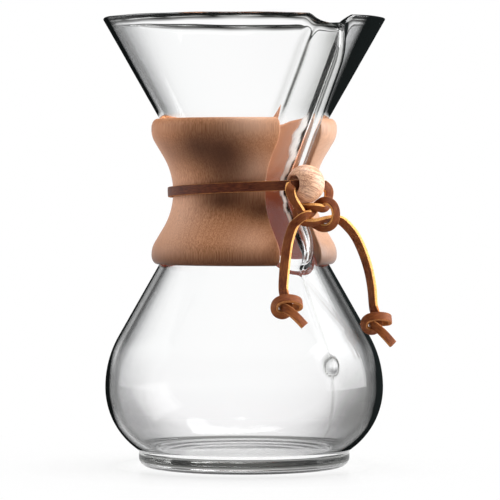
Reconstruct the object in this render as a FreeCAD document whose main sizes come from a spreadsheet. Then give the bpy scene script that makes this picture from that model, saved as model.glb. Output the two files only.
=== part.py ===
"""Pour-over coffee maker: a one-piece glass funnel and carafe with a wooden collar tied round its waist.

Units are millimetres. Z is up, the origin is the centre of the foot on the table, and the pouring
channel runs up the front, which faces -Y. The right-hand side of someone who faces the spout is +X.
"""
import FreeCAD, Part
import math
import os
import Sketcher

doc = FreeCAD.newDocument("coffee_maker")
Vector = FreeCAD.Vector

# Driving sizes, one row each: name, value, what it is
SIZES = [
    ("overall_height", 216.0, "table to the top of the rim"),
    ("rim_radius", 68.9, "outside of the glass at the rim"),
    ("wall", 2.8, "thickness of the blown wall"),
    ("throat_height", 131.9, "height of the narrowest place"),
    ("throat_radius", 23.6, "outside of the glass there"),
    ("throat_bend", 18.5, "radius of the waist curve, seen from the side"),
    ("belly_height", 38.0, "height of the widest place"),
    ("belly_radius", 66.7, "outside of the glass there"),
    ("shoulder_bend", 49.9, "radius of the curve above the widest place"),
    ("heel_bend", 36.3, "radius of the curve below the widest place"),
    ("foot_radius", 50.6, "outside of the foot ring"),
    ("foot_round", 4.5, "rounding of the foot ring's outer edge"),
    ("foot_inner", 43.5, "inner edge of the ring that stands on the table"),
    ("push_up", 2.0, "rise of the underside at its centre"),
    ("floor_height", 7.0, "height of the floor inside"),
    ("lip_round", 1.1, "fire-polished rounding of the rim"),
    ("channel_radius", 11.0, "outside of the pouring channel"),
    ("channel_foot_height", 103.0, "centre of the channel's closed lower end"),
    ("channel_foot_reach", 35.0, "its distance from the axis"),
    ("channel_foot_bend", 8.0, "bend just above the closed end"),
    ("spout_reach", 59.0, "distance of the channel's centre line from the axis at its top"),
    ("spout_lean", 2.0, "lean of the channel below the lip, in degrees"),
    ("spout_bend", 22.0, "bend where the channel turns upright"),
    ("channel_blend", 2.5, "hollow rounding beside the channel"),
    ("lip_dip", 6.5, "how far the rim dips at the spout"),
    ("dip_round", 12.6, "radius of the dip"),
    ("dip_shoulder", 5.0, "rounding where the dip meets the rim"),
    ("button_height", 50.5, "height of the centre of the button's dome"),
    ("button_dome", 8.8, "radius of the button's dome"),
    ("button_rise", 1.3, "how far the button stands proud"),
    ("collar_clearance", 0.3, "gap between collar and glass"),
    ("collar_bottom", 34.9, "how far the collar reaches below the throat"),
    ("collar_top", 34.7, "how far the collar reaches above the throat"),
    ("collar_radius", 44.5, "widest radius of the collar's two ends"),
    ("waist_height", 0.4, "how far the collar's waist lies below the throat"),
    ("waist_radius", 10.5, "thickness of the waist outside the throat's radius"),
    ("waist_bend", 33.6, "radius of the waist's hollow, seen from the side"),
    ("flank_angle", 31.0, "lean of the collar's flanks, in degrees"),
    ("collar_swell", 4.6, "rounding between flank and rim of the collar"),
    ("collar_edge", 3.2, "rounding of the collar's two ends"),
    ("front_gap", 1.1, "clearance each side of the channel in the collar's slot"),
    ("rear_gap", 5.0, "slot between the two halves at the back"),
    ("slot_edge", 1.0, "rounding of the edges along both slots"),
    ("bead_radius", 9.0, "outside of the bead"),
    ("bead_bore", 4.0, "radius of the bead's hole"),
    ("bead_mouth", 0.8, "rounding of the hole's two mouths"),
    ("bead_reach", 2.6, "gap between the channel's front, at the throat, and the bead"),
    ("bead_height", 3.5, "height of the bead's centre above the throat"),
    ("lace_width", 4.7, "width of the flat leather lace"),
    ("lace_thickness", 2.1, "thickness of the lace"),
    ("lace_seat", 0.5, "gap between the lace's band and the collar"),
    ("lace_drop", 0.6, "how far the lace lies below the middle of the bead's hole"),
    ("lace_end", 0.9, "how far the lace's straight part reaches beyond the bead"),
    ("lace_turn", 0.4, "how far inside the bead's side the band turns out of the hole"),
    ("band_slope", 2.8, "tilt of the band, in degrees, higher at the bead"),
    ("knot_strand", 3.0, "diameter of the lace where a knot pulls it round"),
]
sheet = doc.addObject("Spreadsheet::Sheet", "Sizes")
for row, (name, value, meaning) in enumerate(SIZES, start=1):
    sheet.set("A%d" % row, name)
    sheet.set("B%d" % row, "%g" % value)
    sheet.set("C%d" % row, meaning)
    sheet.setAlias("B%d" % row, name)
doc.recompute()


def size(expression):
    """The value of an expression in the sheet's sizes."""
    return float(sheet.evalExpression(expression))


# Places that follow the piece beside them
COLLAR_BOTTOM = "(Sizes.throat_height - Sizes.collar_bottom)"
COLLAR_TOP = "(Sizes.throat_height + Sizes.collar_top)"
WAIST_HEIGHT = "(Sizes.throat_height - Sizes.waist_height)"
WAIST_RADIUS = "(Sizes.throat_radius + Sizes.waist_radius)"
FRONT_SLOT = "(Sizes.channel_radius + Sizes.front_gap)"
BEAD_REACH = "(Sizes.throat_radius + Sizes.channel_radius + Sizes.bead_reach + Sizes.bead_radius)"
BEAD_HEIGHT = "(Sizes.throat_height + Sizes.bead_height)"
LACE_END = "(Sizes.bead_radius + Sizes.lace_end)"
LACE_TURN = "(Sizes.bead_radius - Sizes.lace_turn)"

# Sketch helpers: each piece of an outline is (geometry number, first end, last end)
ORIGIN = (-1, 1)
UPRIGHT_AXIS = (-2, 0)


def new_body(label):
    body = doc.addObject("PartDesign::Body", label)
    body.Label = label
    return body


def new_sketch(body, name, plane):
    sketch = body.newObject("Sketcher::SketchObject", name)
    origin_plane = next(f for f in body.Origin.OriginFeatures if f.Role == plane)
    sketch.AttachmentSupport = (origin_plane, [""])
    sketch.MapMode = "FlatFace"
    return sketch


def line(sketch, start, end, guide=False):
    segment = Part.LineSegment(Vector(start[0], start[1], 0), Vector(end[0], end[1], 0))
    return (sketch.addGeometry(segment, guide), 1, 2)


def arc(sketch, centre, radius, start, end):
    """An arc between two angles in degrees, drawn clockwise where end is below start."""
    low = math.radians(min(start, end))
    high = math.radians(max(start, end))
    circle = Part.Circle(Vector(centre[0], centre[1], 0), Vector(0, 0, 1), radius)
    number = sketch.addGeometry(Part.ArcOfCircle(circle, low, high), False)
    if end > start:
        return (number, 1, 2)
    return (number, 2, 1)


def circle(sketch, centre, radius, guide=False):
    shape = Part.Circle(Vector(centre[0], centre[1], 0), Vector(0, 0, 1), radius)
    return (sketch.addGeometry(shape, guide), 3, 3)


def rule(sketch, kind, *what):
    return sketch.addConstraint(Sketcher.Constraint(kind, *what))


def corner(sketch, first, second):
    rule(sketch, "Coincident", first[0], first[2], second[0], second[1])


def smooth(sketch, first, second):
    rule(sketch, "Tangent", first[0], first[2], second[0], second[1])


def bind(sketch, kind, expression, *what):
    """A dimension of the sketch that follows an expression in the sheet's sizes."""
    number = sketch.addConstraint(Sketcher.Constraint(kind, *what, size(expression)))
    sketch.setExpression("Constraints[%d]" % number, expression)


def across(sketch, expression, piece, end, left=False):
    """Distance of a point from the upright axis, on its left side if asked."""
    if left:
        bind(sketch, "DistanceX", expression, piece[0], end, *ORIGIN)
    else:
        bind(sketch, "DistanceX", expression, *ORIGIN, piece[0], end)


def height(sketch, expression, piece, end):
    """Height of a point above the sketch's horizontal axis."""
    bind(sketch, "DistanceY", expression, *ORIGIN, piece[0], end)


def radius(sketch, expression, piece):
    bind(sketch, "Radius", expression, piece[0])


def bind_angle(sketch, expression, piece):
    """Direction of a line in degrees, counted from the sketch's horizontal axis."""
    start = math.radians(size(expression))
    number = sketch.addConstraint(Sketcher.Constraint("Angle", piece[0], start))
    sketch.setExpression("Constraints[%d]" % number, "(%s) * 1 deg" % expression)


def feature(body, kind, name, profile, **settings):
    made = body.newObject("PartDesign::" + kind, name)
    made.Profile = profile
    for key, value in settings.items():
        setattr(made, key, value)
    body.Tip = made
    doc.recompute()
    return made


def edges_where(shape, test):
    """Names of the edges whose middle point passes a test."""
    found = []
    for number, edge in enumerate(shape.Edges, start=1):
        if edge.Degenerated:
            continue
        middle = edge.valueAt((edge.FirstParameter + edge.LastParameter) / 2)
        if test(edge, middle):
            found.append("Edge%d" % number)
    return found


def round_edges(body, name, base, names, expression):
    made = body.newObject("PartDesign::Fillet", name)
    made.Base = (base, names)
    made.Radius = size(expression)
    made.setExpression("Radius", expression)
    body.Tip = made
    doc.recompute()
    return made


# Shape of the glass in section: the cone of the funnel and the cone of the shoulder both touch the
# waist's circle, and the shoulder's cone also touches the circle of the belly
throat = (size("Sizes.throat_radius + Sizes.throat_bend"), size("Sizes.throat_height"))
belly = (size("Sizes.belly_radius - Sizes.shoulder_bend"), size("Sizes.belly_height"))
heel = (size("Sizes.belly_radius - Sizes.heel_bend"), size("Sizes.belly_height"))
rim = (size("Sizes.rim_radius"), size("Sizes.overall_height"))
rim_run = math.hypot(rim[0] - throat[0], rim[1] - throat[1])
funnel_angle = math.degrees(math.atan2(rim[0] - throat[0], rim[1] - throat[1]))
funnel_angle += math.degrees(math.asin(size("Sizes.throat_bend") / rim_run))
waist_run = math.hypot(throat[0] - belly[0], throat[1] - belly[1])
shoulder_angle = math.degrees(math.atan2(throat[1] - belly[1], throat[0] - belly[0]))
bends = size("Sizes.throat_bend + Sizes.shoulder_bend")
shoulder_angle -= math.degrees(math.acos(bends / waist_run))
print("funnel half-angle %.2f, shoulder half-angle %.2f degrees" % (funnel_angle, shoulder_angle))


def on_circle(centre, radius_value, angle):
    turn = math.radians(angle)
    return (centre[0] + radius_value * math.cos(turn), centre[1] + radius_value * math.sin(turn))


THROAT_LOW = 180 + shoulder_angle
THROAT_HIGH = 180 - funnel_angle


def outer_profile(sketch):
    """Half section of the glass filled in: underside, foot, heel, belly, shoulder, waist and funnel."""
    foot_inner = size("Sizes.foot_inner")
    foot_radius = size("Sizes.foot_radius")
    foot_round = size("Sizes.foot_round")
    push_up = size("Sizes.push_up")
    dome = (foot_inner ** 2 + push_up ** 2) / (2 * push_up)
    dome_centre = (0, push_up - dome)
    dome_edge = math.degrees(math.acos(foot_inner / dome))
    heel_bend = size("Sizes.heel_bend")
    heel_start = -math.degrees(math.acos((foot_radius - heel[0]) / heel_bend))
    shoulder_bend = size("Sizes.shoulder_bend")
    throat_bend = size("Sizes.throat_bend")
    foot_centre = (foot_radius - foot_round, foot_round)
    side_top = on_circle(heel, heel_bend, heel_start)
    underside = arc(sketch, dome_centre, dome, 90, dome_edge)
    ring = line(sketch, (foot_inner, 0), (foot_radius - foot_round, 0))
    edge = arc(sketch, foot_centre, foot_round, -90, 0)
    side = line(sketch, (foot_radius, foot_round), side_top)
    heel_arc = arc(sketch, heel, heel_bend, heel_start, 0)
    belly_arc = arc(sketch, belly, shoulder_bend, 0, shoulder_angle)
    cone = line(sketch, on_circle(belly, shoulder_bend, shoulder_angle),
                on_circle(throat, throat_bend, THROAT_LOW))
    waist = arc(sketch, throat, throat_bend, THROAT_LOW, THROAT_HIGH)
    funnel = line(sketch, on_circle(throat, throat_bend, THROAT_HIGH), rim)
    top = line(sketch, rim, (0, rim[1]))
    axis = line(sketch, (0, rim[1]), (0, push_up))
    corner(sketch, underside, ring)
    smooth(sketch, ring, edge)
    smooth(sketch, edge, side)
    corner(sketch, side, heel_arc)
    smooth(sketch, heel_arc, belly_arc)
    smooth(sketch, belly_arc, cone)
    smooth(sketch, cone, waist)
    smooth(sketch, waist, funnel)
    corner(sketch, funnel, top)
    corner(sketch, top, axis)
    corner(sketch, axis, underside)
    rule(sketch, "PointOnObject", underside[0], 3, UPRIGHT_AXIS[0])
    rule(sketch, "PointOnObject", axis[0], 1, UPRIGHT_AXIS[0])
    rule(sketch, "PointOnObject", axis[0], 2, UPRIGHT_AXIS[0])
    rule(sketch, "PointOnObject", ring[0], 1, -1)
    rule(sketch, "Horizontal", ring[0])
    rule(sketch, "Vertical", side[0])
    rule(sketch, "Horizontal", top[0])
    height(sketch, "Sizes.push_up", axis, 2)
    across(sketch, "Sizes.foot_inner", ring, 1)
    across(sketch, "Sizes.foot_radius", side, 1)
    radius(sketch, "Sizes.foot_round", edge)
    radius(sketch, "Sizes.heel_bend", heel_arc)
    height(sketch, "Sizes.belly_height", heel_arc, 3)
    across(sketch, "Sizes.belly_radius", belly_arc, 1)
    height(sketch, "Sizes.belly_height", belly_arc, 1)
    radius(sketch, "Sizes.shoulder_bend", belly_arc)
    waist_rules(sketch, waist, "Sizes.throat_bend")
    across(sketch, "Sizes.rim_radius", funnel, 2)
    height(sketch, "Sizes.overall_height", funnel, 2)


def waist_rules(sketch, waist, bend):
    """Centre and radius of the arc at the waist."""
    radius(sketch, bend, waist)
    across(sketch, "Sizes.throat_radius + Sizes.throat_bend", waist, 3)
    height(sketch, "Sizes.throat_height", waist, 3)


def funnel_guide(sketch, mirrored=False):
    """A construction line along the funnel's outer side, which other outlines run parallel to."""
    side = -1 if mirrored else 1
    fall = (rim[1] - throat[1]) * math.tan(math.radians(funnel_angle))
    bend = circle(sketch, (side * throat[0], throat[1]), size("Sizes.throat_bend"), True)
    guide = line(sketch, (side * (rim[0] - fall), throat[1]), (side * rim[0], rim[1]), True)
    rule(sketch, "Tangent", guide[0], bend[0])
    height(sketch, "Sizes.throat_height", guide, 1)
    radius(sketch, "Sizes.throat_bend", bend)
    across(sketch, "Sizes.throat_radius + Sizes.throat_bend", bend, 3, mirrored)
    height(sketch, "Sizes.throat_height", bend, 3)
    across(sketch, "Sizes.rim_radius", guide, 2, mirrored)
    height(sketch, "Sizes.overall_height", guide, 2)
    return guide


def inner_profile(sketch):
    """Half section of the room inside the glass, one wall inside the outer profile."""
    wall = size("Sizes.wall")
    floor_height = size("Sizes.floor_height")
    above = rim[1] + 2 * size("Sizes.lip_dip")
    heel_bend = size("Sizes.heel_bend") - wall
    shoulder_bend = size("Sizes.shoulder_bend") - wall
    throat_bend = size("Sizes.throat_bend") + wall
    heel_start = -math.degrees(math.asin((heel[1] - floor_height) / heel_bend))
    floor_edge = on_circle(heel, heel_bend, heel_start)
    funnel_start = on_circle(throat, throat_bend, THROAT_HIGH)
    spread = (above - funnel_start[1]) * math.tan(math.radians(funnel_angle))
    floor = line(sketch, (0, floor_height), floor_edge)
    heel_arc = arc(sketch, heel, heel_bend, heel_start, 0)
    belly_arc = arc(sketch, belly, shoulder_bend, 0, shoulder_angle)
    cone = line(sketch, on_circle(belly, shoulder_bend, shoulder_angle),
                on_circle(throat, throat_bend, THROAT_LOW))
    waist = arc(sketch, throat, throat_bend, THROAT_LOW, THROAT_HIGH)
    funnel = line(sketch, funnel_start, (funnel_start[0] + spread, above))
    top = line(sketch, (funnel_start[0] + spread, above), (0, above))
    axis = line(sketch, (0, above), (0, floor_height))
    corner(sketch, floor, heel_arc)
    smooth(sketch, heel_arc, belly_arc)
    smooth(sketch, belly_arc, cone)
    smooth(sketch, cone, waist)
    smooth(sketch, waist, funnel)
    corner(sketch, funnel, top)
    corner(sketch, top, axis)
    corner(sketch, axis, floor)
    rule(sketch, "Horizontal", floor[0])
    rule(sketch, "Horizontal", top[0])
    rule(sketch, "PointOnObject", axis[0], 1, UPRIGHT_AXIS[0])
    rule(sketch, "PointOnObject", axis[0], 2, UPRIGHT_AXIS[0])
    height(sketch, "Sizes.floor_height", floor, 1)
    height(sketch, "Sizes.overall_height + 2 * Sizes.lip_dip", top, 2)
    radius(sketch, "Sizes.heel_bend - Sizes.wall", heel_arc)
    across(sketch, "Sizes.belly_radius - Sizes.wall", belly_arc, 1)
    height(sketch, "Sizes.belly_height", belly_arc, 1)
    height(sketch, "Sizes.belly_height", heel_arc, 3)
    radius(sketch, "Sizes.shoulder_bend - Sizes.wall", belly_arc)
    waist_rules(sketch, waist, "Sizes.throat_bend + Sizes.wall")
    guide = funnel_guide(sketch)
    rule(sketch, "Parallel", guide[0], funnel[0])


def rounded_corner(before, point, after, bend):
    """Start, end and centre of the arc of radius bend that rounds the corner at point."""
    back = ((before[0] - point[0]), (before[1] - point[1]))
    ahead = ((after[0] - point[0]), (after[1] - point[1]))
    back = (back[0] / math.hypot(*back), back[1] / math.hypot(*back))
    ahead = (ahead[0] / math.hypot(*ahead), ahead[1] / math.hypot(*ahead))
    half = math.acos(back[0] * ahead[0] + back[1] * ahead[1]) / 2
    step = bend / math.tan(half)
    middle = (back[0] + ahead[0], back[1] + ahead[1])
    out = bend / math.sin(half) / math.hypot(*middle)
    start = (point[0] + step * back[0], point[1] + step * back[1])
    end = (point[0] + step * ahead[0], point[1] + step * ahead[1])
    return start, end, (point[0] + out * middle[0], point[1] + out * middle[1])


def direction(centre, point):
    """Angle in degrees, from 0 to 360, at which a point is seen from a centre."""
    return math.degrees(math.atan2(point[1] - centre[1], point[0] - centre[0])) % 360


def channel_spine(sketch):
    """Middle line of the channel: up from its closed end, along the glass, then on to the lip."""
    foot_reach = size("Sizes.channel_foot_reach")
    foot_bend = size("Sizes.channel_foot_bend")
    spout_bend = size("Sizes.spout_bend")
    throat_bend = size("Sizes.throat_bend")
    above = rim[1] + size("Sizes.lip_dip")
    low_touch = on_circle((-throat[0], throat[1]), throat_bend, -shoulder_angle)
    high_touch = on_circle((-throat[0], throat[1]), throat_bend, funnel_angle)
    low_slope = math.tan(math.radians(shoulder_angle))
    high_slope = math.tan(math.radians(funnel_angle))
    spout_slope = math.tan(math.radians(size("Sizes.spout_lean")))
    start = (-foot_reach, size("Sizes.channel_foot_height"))
    low_corner = (-foot_reach, low_touch[1] - (foot_reach + low_touch[0]) / low_slope)
    finish = (-size("Sizes.spout_reach"), above)
    base_reach = -finish[0] - above * spout_slope
    high_height = (base_reach + high_touch[0] + high_touch[1] * high_slope) / (high_slope - spout_slope)
    high_corner = (-(base_reach + high_height * spout_slope), high_height)
    low_start, low_end, low_centre = rounded_corner(start, low_corner, low_touch, foot_bend)
    high_start, high_end, high_centre = rounded_corner(high_touch, high_corner, finish, spout_bend)
    foot = line(sketch, start, low_start)
    low_arc = arc(sketch, low_centre, foot_bend, 180, direction(low_centre, low_end))
    low_line = line(sketch, low_end, low_touch)
    waist = arc(sketch, (-throat[0], throat[1]), throat_bend, -shoulder_angle, funnel_angle)
    high_line = line(sketch, high_touch, high_start)
    high_arc = arc(sketch, high_centre, spout_bend, direction(high_centre, high_start),
                   direction(high_centre, high_end))
    spout = line(sketch, high_end, finish)
    smooth(sketch, foot, low_arc)
    smooth(sketch, low_arc, low_line)
    smooth(sketch, low_line, waist)
    smooth(sketch, waist, high_line)
    smooth(sketch, high_line, high_arc)
    smooth(sketch, high_arc, spout)
    rule(sketch, "Vertical", foot[0])
    across(sketch, "Sizes.channel_foot_reach", foot, 1, True)
    height(sketch, "Sizes.channel_foot_height", foot, 1)
    radius(sketch, "Sizes.channel_foot_bend", low_arc)
    radius(sketch, "Sizes.throat_bend", waist)
    across(sketch, "Sizes.throat_radius + Sizes.throat_bend", waist, 3, True)
    height(sketch, "Sizes.throat_height", waist, 3)
    radius(sketch, "Sizes.spout_bend", high_arc)
    across(sketch, "Sizes.spout_reach", spout, 2, True)
    height(sketch, "Sizes.overall_height + Sizes.lip_dip", spout, 2)
    bind_angle(sketch, "90 + Sizes.spout_lean", spout)
    shoulder_circle = circle(sketch, (-belly[0], belly[1]), size("Sizes.shoulder_bend"), True)
    radius(sketch, "Sizes.shoulder_bend", shoulder_circle)
    across(sketch, "Sizes.belly_radius - Sizes.shoulder_bend", shoulder_circle, 3, True)
    height(sketch, "Sizes.belly_height", shoulder_circle, 3)
    rule(sketch, "Tangent", low_line[0], shoulder_circle[0])
    guide = funnel_guide(sketch, True)
    rule(sketch, "Parallel", guide[0], high_line[0])


def channel(body, name, expression, kinds, spine):
    """The channel as a solid: a round pipe along the spine with a ball at its closed lower end."""
    section = new_sketch(body, name + "_section", "XY_Plane")
    section.AttachmentOffset = FreeCAD.Placement(Vector(0, 0, size("Sizes.channel_foot_height")),
                                                 FreeCAD.Rotation())
    section.setExpression("AttachmentOffset.Base.z", "Sizes.channel_foot_height")
    round_section = circle(section, (0, -size("Sizes.channel_foot_reach")), size(expression))
    radius(section, expression, round_section)
    rule(section, "PointOnObject", round_section[0], 3, UPRIGHT_AXIS[0])
    bind(section, "DistanceY", "Sizes.channel_foot_reach", round_section[0], 3, *ORIGIN)
    doc.recompute()
    pipe_kind, ball_kind = kinds
    spine_edges = ["Edge%d" % (n + 1) for n in range(len(spine.Shape.Edges))]
    feature(body, pipe_kind, name + "_pipe", section, Spine=(spine, spine_edges))
    ball = body.newObject("PartDesign::" + ball_kind, name + "_end")
    plane = next(f for f in body.Origin.OriginFeatures if f.Role == "XY_Plane")
    ball.AttachmentSupport = (plane, [""])
    ball.MapMode = "FlatFace"
    ball.Radius = size(expression)
    ball.setExpression("Radius", expression)
    ball.AttachmentOffset = FreeCAD.Placement(
        Vector(0, -size("Sizes.channel_foot_reach"), size("Sizes.channel_foot_height")),
        FreeCAD.Rotation())
    ball.setExpression("AttachmentOffset.Base.y", "-Sizes.channel_foot_reach")
    ball.setExpression("AttachmentOffset.Base.z", "Sizes.channel_foot_height")
    body.Tip = ball
    doc.recompute()
    return ball


def button(body):
    """The glass button on the belly below the spout, a low dome that marks the half-full level."""
    reach = "(Sizes.shoulder_bend + Sizes.button_rise - Sizes.button_dome)"
    drop = "(Sizes.button_height - Sizes.belly_height)"
    away = "Sizes.belly_radius - Sizes.shoulder_bend + sqrt(%s ^ 2 - %s ^ 2)" % (reach, drop)
    ball = body.newObject("PartDesign::AdditiveSphere", "button")
    plane = next(f for f in body.Origin.OriginFeatures if f.Role == "XY_Plane")
    ball.AttachmentSupport = (plane, [""])
    ball.MapMode = "FlatFace"
    ball.Radius = size("Sizes.button_dome")
    ball.setExpression("Radius", "Sizes.button_dome")
    ball.setExpression("AttachmentOffset.Base.y", "-(%s)" % away)
    ball.setExpression("AttachmentOffset.Base.z", "Sizes.button_height")
    body.Tip = ball
    doc.recompute()
    return ball


def trim_rim(body):
    """The level rim with its dip at the spout, cut through funnel and channel together."""
    far = "2 * Sizes.rim_radius"
    level = new_sketch(body, "rim_level", "XZ_Plane")
    reach = size(far)
    height_now = rim[1]
    clear = height_now + 4 * size("Sizes.lip_dip")
    base = line(level, (-reach, height_now), (reach, height_now))
    right = line(level, (reach, height_now), (reach, clear))
    top = line(level, (reach, clear), (-reach, clear))
    left = line(level, (-reach, clear), (-reach, height_now))
    for first, second in ((base, right), (right, top), (top, left), (left, base)):
        corner(level, first, second)
    rule(level, "Horizontal", base[0])
    rule(level, "Horizontal", top[0])
    rule(level, "Vertical", right[0])
    rule(level, "Vertical", left[0])
    across(level, far, base, 2)
    across(level, far, base, 1, True)
    height(level, "Sizes.overall_height", base, 1)
    height(level, "Sizes.overall_height + 4 * Sizes.lip_dip", top, 1)
    doc.recompute()
    feature(body, "Pocket", "rim_cut", level, Type="ThroughAll", Midplane=True)
    dip = new_sketch(body, "dip_outline", "XZ_Plane")
    round_dip = circle(dip, (0, height_now - size("Sizes.lip_dip") + size("Sizes.dip_round")),
                       size("Sizes.dip_round"))
    radius(dip, "Sizes.dip_round", round_dip)
    rule(dip, "PointOnObject", round_dip[0], 3, UPRIGHT_AXIS[0])
    height(dip, "Sizes.overall_height - Sizes.lip_dip + Sizes.dip_round", round_dip, 3)
    doc.recompute()
    before = body.Shape.Volume
    cut = feature(body, "Pocket", "lip_dip", dip, Type="ThroughAll", Reversed=True)
    forward = [v.Y for v in cut.Shape.Vertexes if abs(v.Z - height_now) < 0.01 and abs(v.X) < 20]
    print("the dip takes %.0f cubic mm, at y %.1f to %.1f" % (before - cut.Shape.Volume,
                                                            min(forward), max(forward)))
    shoulders = edges_where(cut.Shape, dip_shoulder)
    softened = round_edges(body, "dip_shoulders", cut, shoulders, "Sizes.dip_shoulder")
    rim_edges = edges_where(softened.Shape, on_rim)
    polished = round_edges(body, "polished_lip", softened, rim_edges, "Sizes.lip_round")
    print("shoulders %d, rim edges %d, valid %s" % (len(shoulders), len(rim_edges),
                                                    polished.Shape.isValid()))


def dip_shoulder(edge, middle):
    """The short edges through the wall where the dip meets the level rim."""
    low = min(v.Z for v in edge.Vertexes)
    return low > rim[1] - 0.01 and middle.y < 0 and edge.Length < 2.5 * size("Sizes.wall")


def on_rim(edge, middle):
    """The edges of the rim, level or dipped, seen on the top of the wall."""
    ends = [v.Z for v in edge.Vertexes]
    return min(ends) > rim[1] - size("Sizes.lip_dip") - 0.1 and edge.Length > 2.5 * size("Sizes.wall")


def glass_carafe():
    """Funnel and carafe in one blown piece, with the channel moulded into its front."""
    body = new_body("glass_carafe")
    outside = new_sketch(body, "glass_outside", "XZ_Plane")
    outer_profile(outside)
    doc.recompute()
    feature(body, "Revolution", "glass_solid", outside, ReferenceAxis=(outside, ["V_Axis"]), Angle=360)
    spine = new_sketch(body, "channel_spine", "YZ_Plane")
    channel_spine(spine)
    doc.recompute()
    ridge = channel(body, "ridge", "Sizes.channel_radius", ("AdditivePipe", "AdditiveSphere"), spine)
    beside = edges_where(ridge.Shape, beside_channel)
    blended = round_edges(body, "channel_hollows", ridge, beside, "Sizes.channel_blend")
    print("edges beside the channel: %d, blended shape valid: %s" % (len(beside), blended.Shape.isValid()))
    button(body)
    inside = new_sketch(body, "glass_inside", "XZ_Plane")
    inner_profile(inside)
    doc.recompute()
    feature(body, "Groove", "glass_room", inside, ReferenceAxis=(inside, ["V_Axis"]), Angle=360)
    channel(body, "groove", "Sizes.channel_radius - Sizes.wall",
            ("SubtractivePipe", "SubtractiveSphere"), spine)
    trim_rim(body)
    return body


def beside_channel(edge, middle):
    """An edge along which the channel's outside meets the round glass."""
    if middle.y > 0:
        return False
    if middle.z > size("Sizes.overall_height") - 1:
        return False
    away = math.hypot(middle.x, middle.y)
    if abs(middle.x) > size("Sizes.channel_radius") + 0.5:
        return False
    curve = type(edge.Curve).__name__
    return away > size("Sizes.throat_radius") - 2 and curve not in ("Line", "Circle") and middle.z > 80


def shoulder_guide(sketch):
    """A construction line along the shoulder of the glass, from the waist's circle to the belly's."""
    bend = circle(sketch, throat, size("Sizes.throat_bend"), True)
    radius(sketch, "Sizes.throat_bend", bend)
    across(sketch, "Sizes.throat_radius + Sizes.throat_bend", bend, 3)
    height(sketch, "Sizes.throat_height", bend, 3)
    swell = circle(sketch, belly, size("Sizes.shoulder_bend"), True)
    radius(sketch, "Sizes.shoulder_bend", swell)
    across(sketch, "Sizes.belly_radius - Sizes.shoulder_bend", swell, 3)
    height(sketch, "Sizes.belly_height", swell, 3)
    guide = line(sketch, on_circle(belly, size("Sizes.shoulder_bend"), shoulder_angle),
                 on_circle(throat, size("Sizes.throat_bend"), THROAT_LOW), True)
    smooth_at(sketch, guide, 1, swell)
    smooth_at(sketch, guide, 2, bend)
    return guide


def smooth_at(sketch, piece, end, round_piece):
    """The piece's end lies on a construction circle and runs along it there."""
    rule(sketch, "Tangent", piece[0], end, round_piece[0])


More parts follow.
